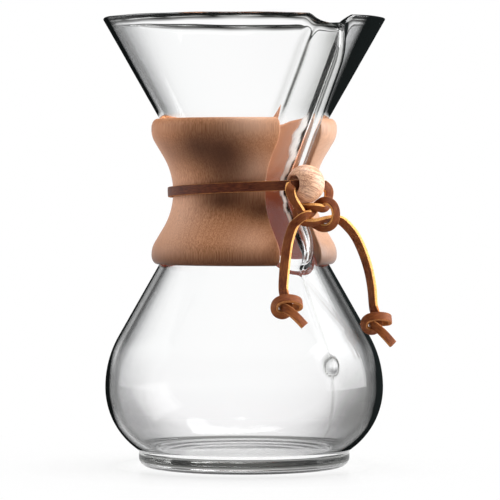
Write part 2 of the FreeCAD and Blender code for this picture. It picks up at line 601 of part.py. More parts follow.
def collar_outline(sketch):
    """Section of the collar: against the glass on its inner side, waisted on its outer side."""
    inner_bend = size("Sizes.throat_bend - Sizes.collar_clearance")
    clearance = size("Sizes.collar_clearance")
    bottom = size(COLLAR_BOTTOM)
    top = size(COLLAR_TOP)
    edge = size("Sizes.collar_edge")
    swell = size("Sizes.collar_swell")
    wide = size("Sizes.collar_radius")
    waist = (size(WAIST_RADIUS + " + Sizes.waist_bend"), size(WAIST_HEIGHT))
    bend = size("Sizes.waist_bend")
    flank = size("Sizes.flank_angle")
    lean = math.tan(math.radians(flank))
    inner_low = on_circle(throat, inner_bend, THROAT_LOW)
    inner_high = on_circle(throat, inner_bend, THROAT_HIGH)
    low_foot = (inner_low[0] + (inner_low[1] - bottom) * math.tan(math.radians(shoulder_angle)), bottom)
    high_foot = (inner_high[0] + (top - inner_high[1]) * math.tan(math.radians(funnel_angle)), top)
    flank_high = on_circle(waist, bend, 180 - flank)
    flank_low = on_circle(waist, bend, 180 + flank)
    swell_reach = wide - swell
    touch = swell_reach + swell * math.cos(math.radians(flank))
    rise = (touch - flank_high[0]) / lean
    high_swell = (swell_reach, flank_high[1] + rise + swell * math.sin(math.radians(flank)))
    low_swell = (swell_reach, flank_low[1] - rise - swell * math.sin(math.radians(flank)))
    inner_cone_low = line(sketch, low_foot, inner_low)
    inner_waist = arc(sketch, throat, inner_bend, THROAT_LOW, THROAT_HIGH)
    inner_cone_high = line(sketch, inner_high, high_foot)
    top_flat = line(sketch, high_foot, (wide - edge, top))
    top_edge = arc(sketch, (wide - edge, top - edge), edge, 90, 0)
    top_side = line(sketch, (wide, top - edge), (wide, high_swell[1]))
    top_swell = arc(sketch, high_swell, swell, 0, -flank)
    top_flank = line(sketch, on_circle(high_swell, swell, -flank), flank_high)
    outer_waist = arc(sketch, waist, bend, 180 - flank, 180 + flank)
    low_flank = line(sketch, flank_low, on_circle(low_swell, swell, flank))
    bottom_swell = arc(sketch, low_swell, swell, flank, 0)
    bottom_side = line(sketch, (wide, low_swell[1]), (wide, bottom + edge))
    bottom_edge = arc(sketch, (wide - edge, bottom + edge), edge, 0, -90)
    bottom_flat = line(sketch, (wide - edge, bottom), low_foot)
    smooth(sketch, inner_cone_low, inner_waist)
    smooth(sketch, inner_waist, inner_cone_high)
    corner(sketch, inner_cone_high, top_flat)
    smooth(sketch, top_flat, top_edge)
    smooth(sketch, top_edge, top_side)
    smooth(sketch, top_side, top_swell)
    smooth(sketch, top_swell, top_flank)
    smooth(sketch, top_flank, outer_waist)
    smooth(sketch, outer_waist, low_flank)
    smooth(sketch, low_flank, bottom_swell)
    smooth(sketch, bottom_swell, bottom_side)
    smooth(sketch, bottom_side, bottom_edge)
    smooth(sketch, bottom_edge, bottom_flat)
    corner(sketch, bottom_flat, inner_cone_low)
    rule(sketch, "Horizontal", top_flat[0])
    rule(sketch, "Horizontal", bottom_flat[0])
    rule(sketch, "Vertical", top_side[0])
    rule(sketch, "Vertical", bottom_side[0])
    waist_rules(sketch, inner_waist, "Sizes.throat_bend - Sizes.collar_clearance")
    rule(sketch, "Parallel", funnel_guide(sketch)[0], inner_cone_high[0])
    rule(sketch, "Parallel", shoulder_guide(sketch)[0], inner_cone_low[0])
    height(sketch, COLLAR_TOP, top_flat, 1)
    height(sketch, COLLAR_BOTTOM, bottom_flat, 1)
    across(sketch, "Sizes.collar_radius", top_side, 1)
    across(sketch, "Sizes.collar_radius", bottom_side, 1)
    for edge_arc in (top_edge, bottom_edge):
        radius(sketch, "Sizes.collar_edge", edge_arc)
    for swell_arc in (top_swell, bottom_swell):
        radius(sketch, "Sizes.collar_swell", swell_arc)
    radius(sketch, "Sizes.waist_bend", outer_waist)
    across(sketch, WAIST_RADIUS + " + Sizes.waist_bend", outer_waist, 3)
    height(sketch, WAIST_HEIGHT, outer_waist, 3)
    bind_angle(sketch, "270 - Sizes.flank_angle", top_flank)
    bind_angle(sketch, "270 + Sizes.flank_angle", low_flank)


def collar_half(label, side):
    """One half of the collar: the turned ring less everything on the other side of the two slots."""
    body = new_body(label)
    section = new_sketch(body, label + "_section", "XZ_Plane")
    collar_outline(section)
    doc.recompute()
    feature(body, "Revolution", label + "_turned", section, ReferenceAxis=(section, ["V_Axis"]), Angle=360)
    away = new_sketch(body, label + "_slots", "XY_Plane")
    far = 2 * size("Sizes.collar_radius")
    front = size(FRONT_SLOT)
    rear = size("Sizes.rear_gap") / 2
    points = [(side * front, -far), (-side * far, -far), (-side * far, far), (side * rear, far),
              (side * rear, 0), (side * front, 0)]
    sides = []
    for number, point in enumerate(points):
        sides.append(line(away, point, points[(number + 1) % len(points)]))
    for number, piece in enumerate(sides):
        corner(away, piece, sides[(number + 1) % len(sides)])
    for number, kind in enumerate(("Horizontal", "Vertical", "Horizontal", "Vertical", "Horizontal")):
        rule(away, kind, sides[number][0])
    rule(away, "Vertical", sides[5][0])
    rule(away, "PointOnObject", sides[4][0], 1, -1)
    left = side < 0
    across(away, FRONT_SLOT, sides[5], 1, left)
    across(away, "Sizes.rear_gap / 2", sides[3], 1, left)
    across(away, "2 * Sizes.collar_radius", sides[1], 1, not left)
    bind(away, "DistanceY", "2 * Sizes.collar_radius", sides[0][0], 1, *ORIGIN)
    height(away, "2 * Sizes.collar_radius", sides[2], 1)
    doc.recompute()
    before = body.Shape.Volume
    cut = feature(body, "Pocket", label + "_cut", away, Type="ThroughAll", Midplane=True)
    rims = edges_where(cut.Shape, lambda edge, middle: slot_rim(edge, middle, side))
    eased = round_edges(body, label + "_edges", cut, rims, "Sizes.slot_edge")
    print("%s: %.0f of %.0f cubic mm, %d edges eased, valid %s"
          % (label, eased.Shape.Volume, before, len(rims), eased.Shape.isValid()))
    return body


def slot_rim(edge, middle, side):
    """The outer edges of the two slot faces of a collar half."""
    on_front = abs(middle.x - side * size(FRONT_SLOT)) < 0.01 and middle.y < 0
    on_rear = abs(middle.x - side * size("Sizes.rear_gap") / 2) < 0.01 and middle.y > 0
    if not (on_front or on_rear):
        return False
    away = math.hypot(middle.x, middle.y)
    return away > waist_reach(middle.z) - 0.05


def waist_reach(level):
    """Radius of the collar's hollow outer side at a height between its swells."""
    drop = abs(level - size(WAIST_HEIGHT))
    bend = size("Sizes.waist_bend")
    flank = math.radians(size("Sizes.flank_angle"))
    start = size(WAIST_RADIUS + " + Sizes.waist_bend")
    if drop < bend * math.sin(flank):
        return start - math.sqrt(bend ** 2 - drop ** 2)
    reach = start - bend * math.cos(flank) + (drop - bend * math.sin(flank)) * math.tan(flank)
    return min(reach, size("Sizes.collar_radius - Sizes.collar_edge"))


def bead():
    """The wooden ball, turned about its bore, which lies across the front."""
    body = new_body("bead")
    outline = new_sketch(body, "bead_section", "XY_Plane")
    ball = size("Sizes.bead_radius")
    bore = size("Sizes.bead_bore")
    mouth = size("Sizes.bead_mouth")
    mouth_reach = math.sqrt((ball - mouth) ** 2 - (bore + mouth) ** 2)
    touch = math.degrees(math.atan2(bore + mouth, mouth_reach))
    hole = line(outline, (-mouth_reach, bore), (mouth_reach, bore))
    right = arc(outline, (mouth_reach, bore + mouth), mouth, -90, touch)
    round_side = arc(outline, (0, 0), ball, touch, 180 - touch)
    left = arc(outline, (-mouth_reach, bore + mouth), mouth, 180 - touch, 270)
    smooth(outline, hole, right)
    smooth(outline, right, round_side)
    smooth(outline, round_side, left)
    smooth(outline, left, hole)
    rule(outline, "Coincident", round_side[0], 3, *ORIGIN)
    rule(outline, "Horizontal", hole[0])
    height(outline, "Sizes.bead_bore", hole, 1)
    radius(outline, "Sizes.bead_radius", round_side)
    radius(outline, "Sizes.bead_mouth", right)
    radius(outline, "Sizes.bead_mouth", left)
    doc.recompute()
    feature(body, "Revolution", "bead_turned", outline, ReferenceAxis=(outline, ["H_Axis"]), Angle=360)
    body.setExpression("Placement.Base.y", "-" + BEAD_REACH)
    body.setExpression("Placement.Base.z", BEAD_HEIGHT)
    doc.recompute()
    print("bead: valid %s, volume %.0f cubic mm" % (body.Shape.isValid(), body.Shape.Volume))
    return body


def band_loop(sketch, ring, start, face_reach, face_half):
    """Plan of one side of the lace: an arc round the back, two straight runs and the front face.

    ring is the arc's radius as an expression and start the angle where it ends, counted from the
    front. A face wider than the runs' meeting point is given by face_half and gets end faces.
    """
    radius_value = size(ring)
    turn = math.radians(start)
    touch = (radius_value * math.sin(turn), -radius_value * math.cos(turn))
    back = arc(sketch, (0, 0), radius_value, start - 90, 270 - start)
    ahead = (face_half - touch[0]) / -math.cos(turn)
    meeting = (face_half, touch[1] - ahead * math.sin(turn))
    left_run = line(sketch, (-touch[0], touch[1]), (-meeting[0], meeting[1]))
    right_run = line(sketch, meeting, touch)
    if face_reach is None:
        face = line(sketch, (-meeting[0], meeting[1]), meeting)
        chain = [left_run, face, right_run]
    else:
        left_end = line(sketch, (-meeting[0], meeting[1]), (-face_half, -face_reach))
        face = line(sketch, (-face_half, -face_reach), (face_half, -face_reach))
        right_end = line(sketch, (face_half, -face_reach), meeting)
        chain = [left_run, left_end, face, right_end, right_run]
        rule(sketch, "Vertical", left_end[0])
        rule(sketch, "Vertical", right_end[0])
    for number in range(len(chain) - 1):
        corner(sketch, chain[number], chain[number + 1])
    smooth(sketch, back, left_run)
    smooth(sketch, right_run, back)
    rule(sketch, "Coincident", back[0], 3, *ORIGIN)
    rule(sketch, "Horizontal", face[0])
    radius(sketch, ring, back)
    return face, left_run, right_run


def lace_band():
    """The lace round the collar's waist and through the bead, where its two ends lie together."""
    body = new_body("lace_band")
    seat = size(WAIST_RADIUS + " + Sizes.lace_seat")
    turn_out = size(LACE_TURN)
    inner_reach = size(BEAD_REACH + " - Sizes.lace_thickness")
    away = math.hypot(turn_out, inner_reach)
    start = math.degrees(math.acos(seat / away) + math.atan2(turn_out, inner_reach))
    plan = new_sketch(body, "band_plan", "XY_Plane")
    rise = "%s - Sizes.lace_drop - %s * tan(Sizes.band_slope * 1 deg)" % (BEAD_HEIGHT, BEAD_REACH)
    plan.AttachmentOffset = FreeCAD.Placement(
        Vector(0, 0, size(rise)), FreeCAD.Rotation(Vector(1, 0, 0), -size("Sizes.band_slope")))
    plan.setExpression("AttachmentOffset.Base.z", rise)
    plan.setExpression("AttachmentOffset.Rotation.Angle", "-Sizes.band_slope * 1 deg")
    inner_face, inner_left, inner_right = band_loop(
        plan, WAIST_RADIUS + " + Sizes.lace_seat", start, None, turn_out)
    outer_face, outer_left, outer_right = band_loop(
        plan, WAIST_RADIUS + " + Sizes.lace_seat + Sizes.lace_thickness", start,
        size(BEAD_REACH + " + Sizes.lace_thickness"), size(LACE_END))
    across(plan, LACE_TURN, inner_face, 2)
    across(plan, LACE_TURN, inner_face, 1, True)
    bind(plan, "DistanceY", BEAD_REACH + " - Sizes.lace_thickness", inner_face[0], 1, *ORIGIN)
    across(plan, LACE_END, outer_face, 2)
    across(plan, LACE_END, outer_face, 1, True)
    bind(plan, "DistanceY", BEAD_REACH + " + Sizes.lace_thickness", outer_face[0], 1, *ORIGIN)
    rule(plan, "Parallel", inner_left[0], outer_left[0])
    rule(plan, "Parallel", inner_right[0], outer_right[0])
    doc.recompute()
    band = feature(body, "Pad", "band", plan, Midplane=True, Length=size("Sizes.lace_width"))
    band.setExpression("Length", "Sizes.lace_width")
    doc.recompute()
    print("lace band: start %.2f degrees, valid %s, volume %.0f cubic mm, box %s"
          % (start, body.Shape.isValid(), body.Shape.Volume, body.Shape.BoundBox))
    return body


# The rest of the lace: a reef knot below the bead, two hanging tails and a knot at the end of each.
# Points are millimetres along the middle of the lace.
KNOT_CENTRE = Vector(5.2, -49.2, 120.5)
KNOT_TURN = 30.0
LEFT_ROPE = [
    (-14.05, 5.86, 14.4), (-17.0, 8.0, 12.5), (-15.5, 7.5, 8.5), (-11, 5.5, 5.5), (-6.5, -1, 0),
    (-2, -3, -3.5), (2.5, -1, -6.5), (7.5, 2, -4.5), (9, 3, 1), (7.5, 2.5, 6), (3.5, 0.5, 8),
    (-0.5, -2.5, 5), (-3, 0, 1), (-7, 4.5, 0.5), (-10.5, 2.5, -2.5), (-12.5, 2.5, -5),
]
RIGHT_ROPE = [
    (3.1, -4, 14.4), (6.2, -5.3, 12.9), (5.5, -4, 7.5), (3.5, -0.5, 3), (-1, 2.5, 4.0),
    (-4.5, 1.5, 4.2), (-8.5, -3.5, 4), (-10.5, -2.5, 0.5), (-8, -0.5, -3), (-3, 2, -3.5),
    (2, 1, -2), (6, -1.5, -1.5), (9.5, -2, -1.5), (12.5, -1.5, -3),
]
LEFT_TAIL = [
    (-6.9, -45.1, 115.5), (-10.6, -46.2, 108.5), (-13.4, -47.8, 101.0), (-15.7, -49.5, 93.2),
    (-18.0, -51.5, 85.8),
]
RIGHT_TAIL = [
    (16.8, -54.1, 117.5), (22.5, -55.6, 111.5), (27.0, -56.0, 103.5), (30.8, -55.8, 95.0),
    (33.4, -55.3, 86.0), (34.7, -54.4, 77.5),
]
END_KNOT = [
    (0, 0, 0), (1, 0.5, -4), (3, -0.5, -10.5), (-0.5, -0.5, -13.5), (-4.5, -0.5, -11), (-4, 2, -6.5),
    (1, 4, -5), (7, 2, -5.5), (8.5, -1.5, -7), (4, -4.5, -7), (-1.5, -2.5, -8), (0, 3.5, -10),
    (5, 3.5, -14.5), (8.5, 2.5, -18.5),
]


def set_out(points, origin, turn, lean):
    """Points given to the right, outwards and up, turned about Z and leaned back from the front."""
    about = math.radians(turn)
    back = math.radians(lean)
    right = Vector(math.cos(about), -math.sin(about), 0)
    level = Vector(-math.sin(about), -math.cos(about), 0)
    out = level * math.cos(back) + Vector(0, 0, math.sin(back))
    up = Vector(0, 0, math.cos(back)) - level * math.sin(back)
    return [origin + right * a + out * b + up * c for a, b, c in points]


def rounded_path(points):
    """A wire of straight runs and tangent arcs through a chain of points, and the arcs' radii."""
    edges = []
    radii = []
    last = points[0]
    for before, point, after in zip(points, points[1:], points[2:]):
        back = before - point
        ahead = after - point
        run = min(back.Length, ahead.Length)
        turn = math.pi - back.getAngle(ahead)
        step = 0.45 * run
        bend = step / math.tan(turn / 2)
        start = point + back.normalize() * step
        end = point + ahead.normalize() * step
        inward = (back + ahead).normalize()
        middle = point + inward * (bend / math.cos(turn / 2) - bend)
        edges.append(Part.LineSegment(last, start).toShape())
        edges.append(Part.Arc(start, middle, end).toShape())
        radii.append(bend)
        last = end
    edges.append(Part.LineSegment(last, points[-1]).toShape())
    return Part.Wire(edges), radii


def lace_tube(label, points, diameter):
    """A round length of lace along a chain of points, with its volume held against its length."""
    path, radii = rounded_path(points)
    first = points[1] - points[0]
    ring = Part.Wire(Part.Circle(points[0], first, diameter / 2).toShape())
    made = doc.addObject("Part::Feature", label)
    made.Label = label
    made.Shape = path.makePipeShell([ring], True, False)
    made.Placement = FreeCAD.Placement()
    expected = math.pi * diameter ** 2 / 4 * path.Length
    print("%s: length %.1f mm, volume %.1f of %.1f cubic mm, valid %s, bend radii %s"
          % (label, path.Length, made.Shape.Volume, expected, made.Shape.isValid(),
             " ".join("%.1f" % bend for bend in radii)))
    return made


pieces = [glass_carafe(), collar_half("collar_half_left", -1), collar_half("collar_half_right", 1),
          bead(), lace_band()]
strand = size("Sizes.knot_strand")
round_lace = 2 * math.sqrt(size("Sizes.lace_width") * size("Sizes.lace_thickness") / math.pi)
left_tail = [Vector(*point) for point in LEFT_TAIL]
right_tail = [Vector(*point) for point in RIGHT_TAIL]
pieces.append(lace_tube("knot_left", set_out(LEFT_ROPE, KNOT_CENTRE, KNOT_TURN, 0), strand))
pieces.append(lace_tube("knot_right", set_out(RIGHT_ROPE, KNOT_CENTRE, KNOT_TURN, 0), strand))
pieces.append(lace_tube("tail_left", left_tail, round_lace))
pieces.append(lace_tube("tail_right", right_tail, round_lace))
pieces.append(lace_tube("end_knot_left", set_out(END_KNOT, left_tail[-1], 30, 25), strand))
pieces.append(lace_tube("end_knot_right", set_out(END_KNOT, right_tail[-1], 30, 10), strand))

# Every object is checked before anything is written
doc.recompute()
for thing in doc.Objects:
    if "Invalid" in thing.State or "Error" in thing.State:
        raise RuntimeError("failed: %s %s" % (thing.Name, thing.State))
for piece in pieces:
    if piece.Shape.isNull() or not piece.Shape.isValid():
        raise RuntimeError("bad shape: " + piece.Label)
    if len(piece.Shape.Solids) != 1:
        raise RuntimeError("%s has %d solids" % (piece.Label, len(piece.Shape.Solids)))
os.makedirs("parts", exist_ok=True)
for piece in pieces:
    piece.Shape.exportStep("parts/%s.step" % piece.Label)
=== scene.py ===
# %% [markdown]
# # A glass pour-over coffee maker with a wooden collar and a leather lace
#
# The object is an hourglass of clear blown glass: a funnel on top, a carafe below, and a pouring
# channel moulded into the front of the funnel. A wooden collar in two halves sits round the waist. A
# flat leather lace runs round the collar and through a wooden bead, and is tied below it. Each step
# below says what a piece is, how it could be made, and why it is made the way it is.

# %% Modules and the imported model
import math

import bpy
import numpy as np
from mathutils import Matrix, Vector


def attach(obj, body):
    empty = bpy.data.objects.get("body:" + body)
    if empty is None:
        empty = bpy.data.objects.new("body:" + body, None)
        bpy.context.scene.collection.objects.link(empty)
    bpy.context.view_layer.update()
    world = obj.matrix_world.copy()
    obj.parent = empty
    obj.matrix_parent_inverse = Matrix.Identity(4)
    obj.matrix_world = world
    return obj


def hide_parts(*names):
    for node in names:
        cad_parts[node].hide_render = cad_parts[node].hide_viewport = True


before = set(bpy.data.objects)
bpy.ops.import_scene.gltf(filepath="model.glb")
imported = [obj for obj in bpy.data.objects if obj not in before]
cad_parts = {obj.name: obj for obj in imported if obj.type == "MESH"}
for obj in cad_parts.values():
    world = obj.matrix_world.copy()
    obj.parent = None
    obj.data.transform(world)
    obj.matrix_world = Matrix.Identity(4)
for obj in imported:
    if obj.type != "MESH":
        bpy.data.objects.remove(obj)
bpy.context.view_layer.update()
MM = 0.001
print("nodes:", ", ".join(sorted(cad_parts)))

# %% [markdown]
# ## Camera
#
# The photograph was taken from the left of the pouring channel, with a long lens at the height of the
# collar: the collar's top and bottom edges curve in opposite ways, and the upright lines stay upright.
# A camera could be set up by eye, but the object's own axis gives it exactly: a distance, a height, an
# angle round the axis, and one point that the lens looks at.

# %% Camera
CAMERA_AWAY = 1.44
CAMERA_HEIGHT = 0.1349
CAMERA_TURN = math.radians(38.5)
AIM_RIGHT = 0.0028
AIM_HEIGHT = 0.1037
LENS = 216
SENSOR = 36
NEAREST, FARTHEST = 0.1, 50


def new_object(name, data):
    """An object that holds the data, in the scene."""
    made = bpy.data.objects.new(name, data)
    bpy.context.collection.objects.link(made)
    return made


def look_from(made, place, aim):
    """Put a camera or a lamp at a place, facing a point."""
    made.location = place
    made.rotation_mode = "QUATERNION"
    made.rotation_quaternion = (Vector(aim) - Vector(place)).to_track_quat("-Z", "Y")


def make_camera():
    """A camera at a distance and height from the object's axis, turned round it and aimed at a point."""
    right = Vector((math.cos(CAMERA_TURN), -math.sin(CAMERA_TURN), 0))
    back = Vector((-math.sin(CAMERA_TURN), -math.cos(CAMERA_TURN), 0))
    data = bpy.data.cameras.new("camera")
    data.sensor_width = SENSOR
    data.lens = LENS
    data.clip_start = NEAREST
    data.clip_end = FARTHEST
    camera = new_object("camera", data)
    look_from(camera, back * CAMERA_AWAY + Vector((0, 0, CAMERA_HEIGHT)),
              right * AIM_RIGHT + Vector((0, 0, AIM_HEIGHT)))
    bpy.context.scene.camera = camera
    return camera


camera = make_camera()
print("camera at", [round(c, 4) for c in camera.location])

# %% [markdown]
# ## Surfaces as arrays
#
# Every new piece is a grid of points: one direction of the grid runs along a profile and the other
# round or along the piece. Numpy works out all the points at once, and the mesh takes them as arrays.
# This is quicker and neater than placing vertices one by one, and the same few lines serve all pieces.

# %% Grid surfaces
def grid_faces(rows, columns):
    """Corner numbers of the faces of a grid of closed rings whose points are numbered ring by ring."""
    row, column = np.meshgrid(np.arange(rows - 1), np.arange(columns), indexing="ij")
    across = (column + 1) % columns
    return np.stack([row * columns + column, row * columns + across, (row + 1) * columns + across,
                     (row + 1) * columns + column], axis=-1).reshape(-1, 4)


def closed_grid(rows, first, last):
    """Points and faces of a grid of closed rings, with a fan round a point at each end."""
    count, columns = rows.shape[:2]
    column = np.arange(columns)
    ahead = (column + 1) % columns
    end = (count - 1) * columns
    fans = [np.stack([np.full(columns, count * columns), ahead, column], axis=-1),
            np.stack([np.full(columns, count * columns + 1), end + column, end + ahead], axis=-1)]
    return np.concatenate([rows.reshape(-1, 3), [first, last]]), [grid_faces(count, columns), *fans]


def flipped(faces):
    """The same faces with their corners in the other order, so that they look the other way."""
    return [face[:, ::-1] for face in faces]


def mesh_from(name, points, faces):
    """A smooth mesh object from an array of points and a list of arrays of faces."""
    mesh = bpy.data.meshes.new(name)
    sizes = np.concatenate([np.full(len(f), f.shape[1]) for f in faces])
    corners = np.concatenate([f.ravel() for f in faces])
    mesh.vertices.add(len(points))
    mesh.vertices.foreach_set("co", np.asarray(points, dtype=np.float32).ravel())
    mesh.loops.add(len(corners))
    mesh.loops.foreach_set("vertex_index", corners.astype(np.int32))
    mesh.polygons.add(len(sizes))
    starts = np.concatenate([[0], np.cumsum(sizes)[:-1]])
    mesh.polygons.foreach_set("loop_start", starts.astype(np.int32))
    mesh.update(calc_edges=True)
    mesh.validate()
    mesh.shade_smooth()
    return new_object(name, mesh)


def add_attribute(piece, name, kind, values):
    """Give every point of a piece its own value or colour under a name."""
    made = piece.data.attributes.new(name, kind, "POINT")
    field = "color" if kind == "FLOAT_COLOR" else "value"
    made.data.foreach_set(field, values.astype(np.float32).ravel())


def unit(vectors):
    """Each row of an array at length 1."""
    return vectors / np.linalg.norm(vectors, axis=-1, keepdims=True)


def smooth_least(first, second, reach):
    """The smaller of two arrays, with the corner between them rounded over a reach."""
    near = np.clip(reach - np.abs(first - second), 0, None) / reach
    return np.minimum(first, second) - near * near * reach / 4


def evenly(start, end, count):
    """Evenly spaced numbers from the start, without the end."""
    return np.linspace(start, end, count, endpoint=False)


def arc_points(centre, radius, start, end, count):
    """Points along an arc between two angles in degrees, without the last one."""
    turn = np.radians(evenly(start, end, count))
    return np.stack([centre[0] + radius * np.cos(turn), centre[1] + radius * np.sin(turn)], axis=-1)


def around(radius, angle, level):
    """Points at a radius and height, at an angle round the axis counted from the channel."""
    return np.stack(np.broadcast_arrays(radius * np.sin(angle), -radius * np.cos(angle), level), axis=-1)


def line_points(start, end, count):
    """Points along a straight line, without the last one."""
    share = evenly(0, 1, count)[:, None]
    return np.asarray(start) * (1 - share) + np.asarray(end) * share


print("a ring of 4 points on 3 levels has %d faces" % len(grid_faces(3, 4)))

# %% [markdown]
# ## The glass
#
# The real one is blown into a mould: its wall follows circles and cones of the same centre, and the
# channel is pressed out of the same wall from inside, so the inner side follows it too. A revolved
# profile joined to a tube with a boolean would leave a hard seam. Instead both are written as
# distances: the distance to the turned wall and the distance to the channel's middle line. The smaller
# of the two, with its corner rounded, is zero on the glass, and along each level ray from the axis the
# outermost such place is found by halving.

# %% Sizes of the glass in millimetres
WALL = 2.8
THROAT = (42.1, 131.9)
THROAT_BEND = 18.5
BELLY = (16.8, 38.0)
SHOULDER_BEND = 49.9
HEEL = (30.4, 38.0)
HEEL_BEND = 36.3
RIM = (68.65, 216.0)
FOOT_RADIUS = 50.6
FOOT_ROUND = 4.5
FOOT_INNER = 43.5
FOOT_EDGE = 0.8
FOOT_TOP = 6.4
FOOT_HOLLOW = 2.9
HEEL_CORNER = 1.6
PUSH_UP = 2.0
FLOOR = 7.0
CHANNEL_RADIUS = 11.0
SPOUT_REACH = 59.0
SPOUT_LEAN = 2.0
SPOUT_BEND = 22.0
FOOT_REACH = 35.0
CHANNEL_FOOT = 103.0
CHANNEL_BEND = 8.0
LIP_DIP = 6.5
DIP_ROUND = 14.6
DIP_EDGE = 5.5
OUTER_HOLLOW = 2.8
INNER_HOLLOW = 2.2
TO_RIM = (RIM[0] - THROAT[0], RIM[1] - THROAT[1])
TO_THROAT = (THROAT[0] - BELLY[0], THROAT[1] - BELLY[1])
FUNNEL_LEAN = math.degrees(math.atan2(*TO_RIM) + math.asin(THROAT_BEND / math.hypot(*TO_RIM)))
SHOULDER_LEAN = math.degrees(math.atan2(TO_THROAT[1], TO_THROAT[0])
                             - math.acos((THROAT_BEND + SHOULDER_BEND) / math.hypot(*TO_THROAT)))
print("funnel %.2f and shoulder %.2f degrees" % (FUNNEL_LEAN, SHOULDER_LEAN))


def on_circle(centre, radius, angle):
    """The point of a circle at an angle in degrees."""
    turn = math.radians(angle)
    return (centre[0] + radius * math.cos(turn), centre[1] + radius * math.sin(turn))


def cone_start(inset):
    """Radius and height where the funnel's cone leaves the throat, an inset inside the outer skin."""
    return on_circle(THROAT, THROAT_BEND + inset, 180 - FUNNEL_LEAN)


def side_profile(inset):
    """Radius and height up the side, from the heel to the waist, an inset inside the outer skin."""
    heel = HEEL_BEND - inset
    shoulder = SHOULDER_BEND - inset
    throat = THROAT_BEND + inset
    if inset:
        heel_start = -math.degrees(math.asin((HEEL[1] - FLOOR) / heel))
    else:
        heel_start = -math.degrees(math.acos((FOOT_RADIUS + HEEL_CORNER - HEEL[0]) / heel))
    shoulder_end = on_circle(BELLY, shoulder, SHOULDER_LEAN)
    return np.concatenate([
        arc_points(HEEL, heel, heel_start, 0, 30),
        arc_points(BELLY, shoulder, 0, SHOULDER_LEAN, 24),
        line_points(shoulder_end, on_circle(THROAT, throat, 180 + SHOULDER_LEAN), 38),
        arc_points(THROAT, throat, 180 + SHOULDER_LEAN, 180 - FUNNEL_LEAN, 24),
    ])


def funnel_radius(level, inset):
    """Radius of the funnel's cone at a height, an inset inside the outer skin."""
    start = cone_start(inset)
    return start[0] + (level - start[1]) * math.tan(math.radians(FUNNEL_LEAN))


def wall_radius(level, inset):
    """Radius of the turned wall at a height, from the belly's widest place to the rim."""
    profile = side_profile(inset)
    upper = profile[profile[:, 1] >= HEEL[1]]
    radius = np.interp(level, upper[:, 1], upper[:, 0])
    return np.where(level > cone_start(inset)[1], funnel_radius(level, inset), radius)


# %% The channel's middle line
def rounded_corner(before, point, after, bend):
    """Start, end and centre of the arc that rounds the corner at a point."""
    before, point, after = (np.asarray(p, dtype=float) for p in (before, point, after))
    back = unit(before - point)
    ahead = unit(after - point)
    half = math.acos(float(back @ ahead)) / 2
    step = bend / math.tan(half)
    return point + step * back, point + step * ahead, point + unit(back + ahead) * bend / math.sin(half)


def channel_line():
    """Reach and height of points along the middle of the channel, from its foot up past the rim."""
    low_touch = on_circle(THROAT, THROAT_BEND, 180 + SHOULDER_LEAN)
    high_touch = cone_start(0)
    low_slope, high_slope, spout_slope = np.tan(np.radians([SHOULDER_LEAN, FUNNEL_LEAN, SPOUT_LEAN]))
    above = RIM[1] + LIP_DIP
    low_corner = (FOOT_REACH, low_touch[1] - (FOOT_REACH - low_touch[0]) / low_slope)
    base = SPOUT_REACH - above * spout_slope
    level = (base - high_touch[0] + high_touch[1] * high_slope) / (high_slope - spout_slope)
    high_corner = (base + level * spout_slope, level)
    low_start, low_end, low_centre = rounded_corner((FOOT_REACH, CHANNEL_FOOT), low_corner, low_touch,
                                                    CHANNEL_BEND)
    high_start, high_end, high_centre = rounded_corner(high_touch, high_corner, (SPOUT_REACH, above),
                                                       SPOUT_BEND)

    def bend(centre, radius, start, end, count):
        """The arc from start to end, the short way round its centre."""
        first, last = (math.degrees(math.atan2(*np.subtract(point, centre)[::-1]))
                       for point in (start, end))
        last = first + (last - first + 180) % 360 - 180
        return arc_points(centre, radius, first, last, count)

    return np.concatenate([
        line_points((FOOT_REACH, CHANNEL_FOOT), low_start, 4),
        bend(low_centre, CHANNEL_BEND, low_start, low_end, 12),
        line_points(low_end, low_touch, 30),
        bend(THROAT, THROAT_BEND, low_touch, high_touch, 40),
        line_points(high_touch, high_start, 110),
        bend(high_centre, SPOUT_BEND, high_start, high_end, 24),
        line_points(high_end, (SPOUT_REACH, above + 6), 50),
    ])


CHANNEL_LINE = channel_line()
print("channel line: %d points" % len(CHANNEL_LINE))


def channel_distance(across, reach, level):
    """Distance from points to the channel's middle line, as the nearest of its short runs."""
    start = CHANNEL_LINE[:-1]
    run = CHANNEL_LINE[1:] - start
    squared = (run ** 2).sum(axis=1)
    nearest = np.full(across.shape, 1e9)
    for first, step, length in zip(start, run, squared):
        share = ((reach - first[0]) * step[0] + (level - first[1]) * step[1]) / length
        share = np.clip(share, 0, 1)
        flat = (reach - first[0] - share * step[0]) ** 2 + (level - first[1] - share * step[1]) ** 2
        nearest = np.minimum(nearest, flat)
    return np.sqrt(nearest + across ** 2)


# %% Skin of the glass
FUNNEL_FROM = 150.0
CHANNEL_FROM = 20.0
LIP_ROUND = 1.4
RIM_SWELL = 0.7
RIM_SWELL_DEEP = 1.3
RIM_UNEVEN = 1.3
RIM_LOW_AT = math.radians(-38.5)
# The side of the glass that the lights leave in shade, where the painted shade is strongest.
SHADED_SIDE = 51.5
FRONT_HALF = 80
BUTTON_HOLLOW = 0.5
BUTTON_LEVEL = 50.5
BUTTON_DOME = 6.2
BUTTON_RISE = 2.0
SEAM_RISE = 0.25
SEAM_WIDE = 0.6
CHANNEL_STANDS_OUT = 17.0
HALVINGS = 16
NO_RIDGE_BELOW = math.radians(12)
EASED_ROWS = 8
CROWD_FROM, CROWD_TO = 0.8, 1.3
STEP_AFTER_CROWD = 0.017
SPREAD_GROWTH = 1.6
BUTTON_REACH = BELLY[0] + math.sqrt(
    (SHOULDER_BEND + BUTTON_RISE - BUTTON_DOME) ** 2 - (BUTTON_LEVEL - BELLY[1]) ** 2)


def bell(value, middle, reach):
    """A bump of height 1 that falls off on both sides of a middle value."""
    return np.exp(-((value - middle) / reach) ** 2)


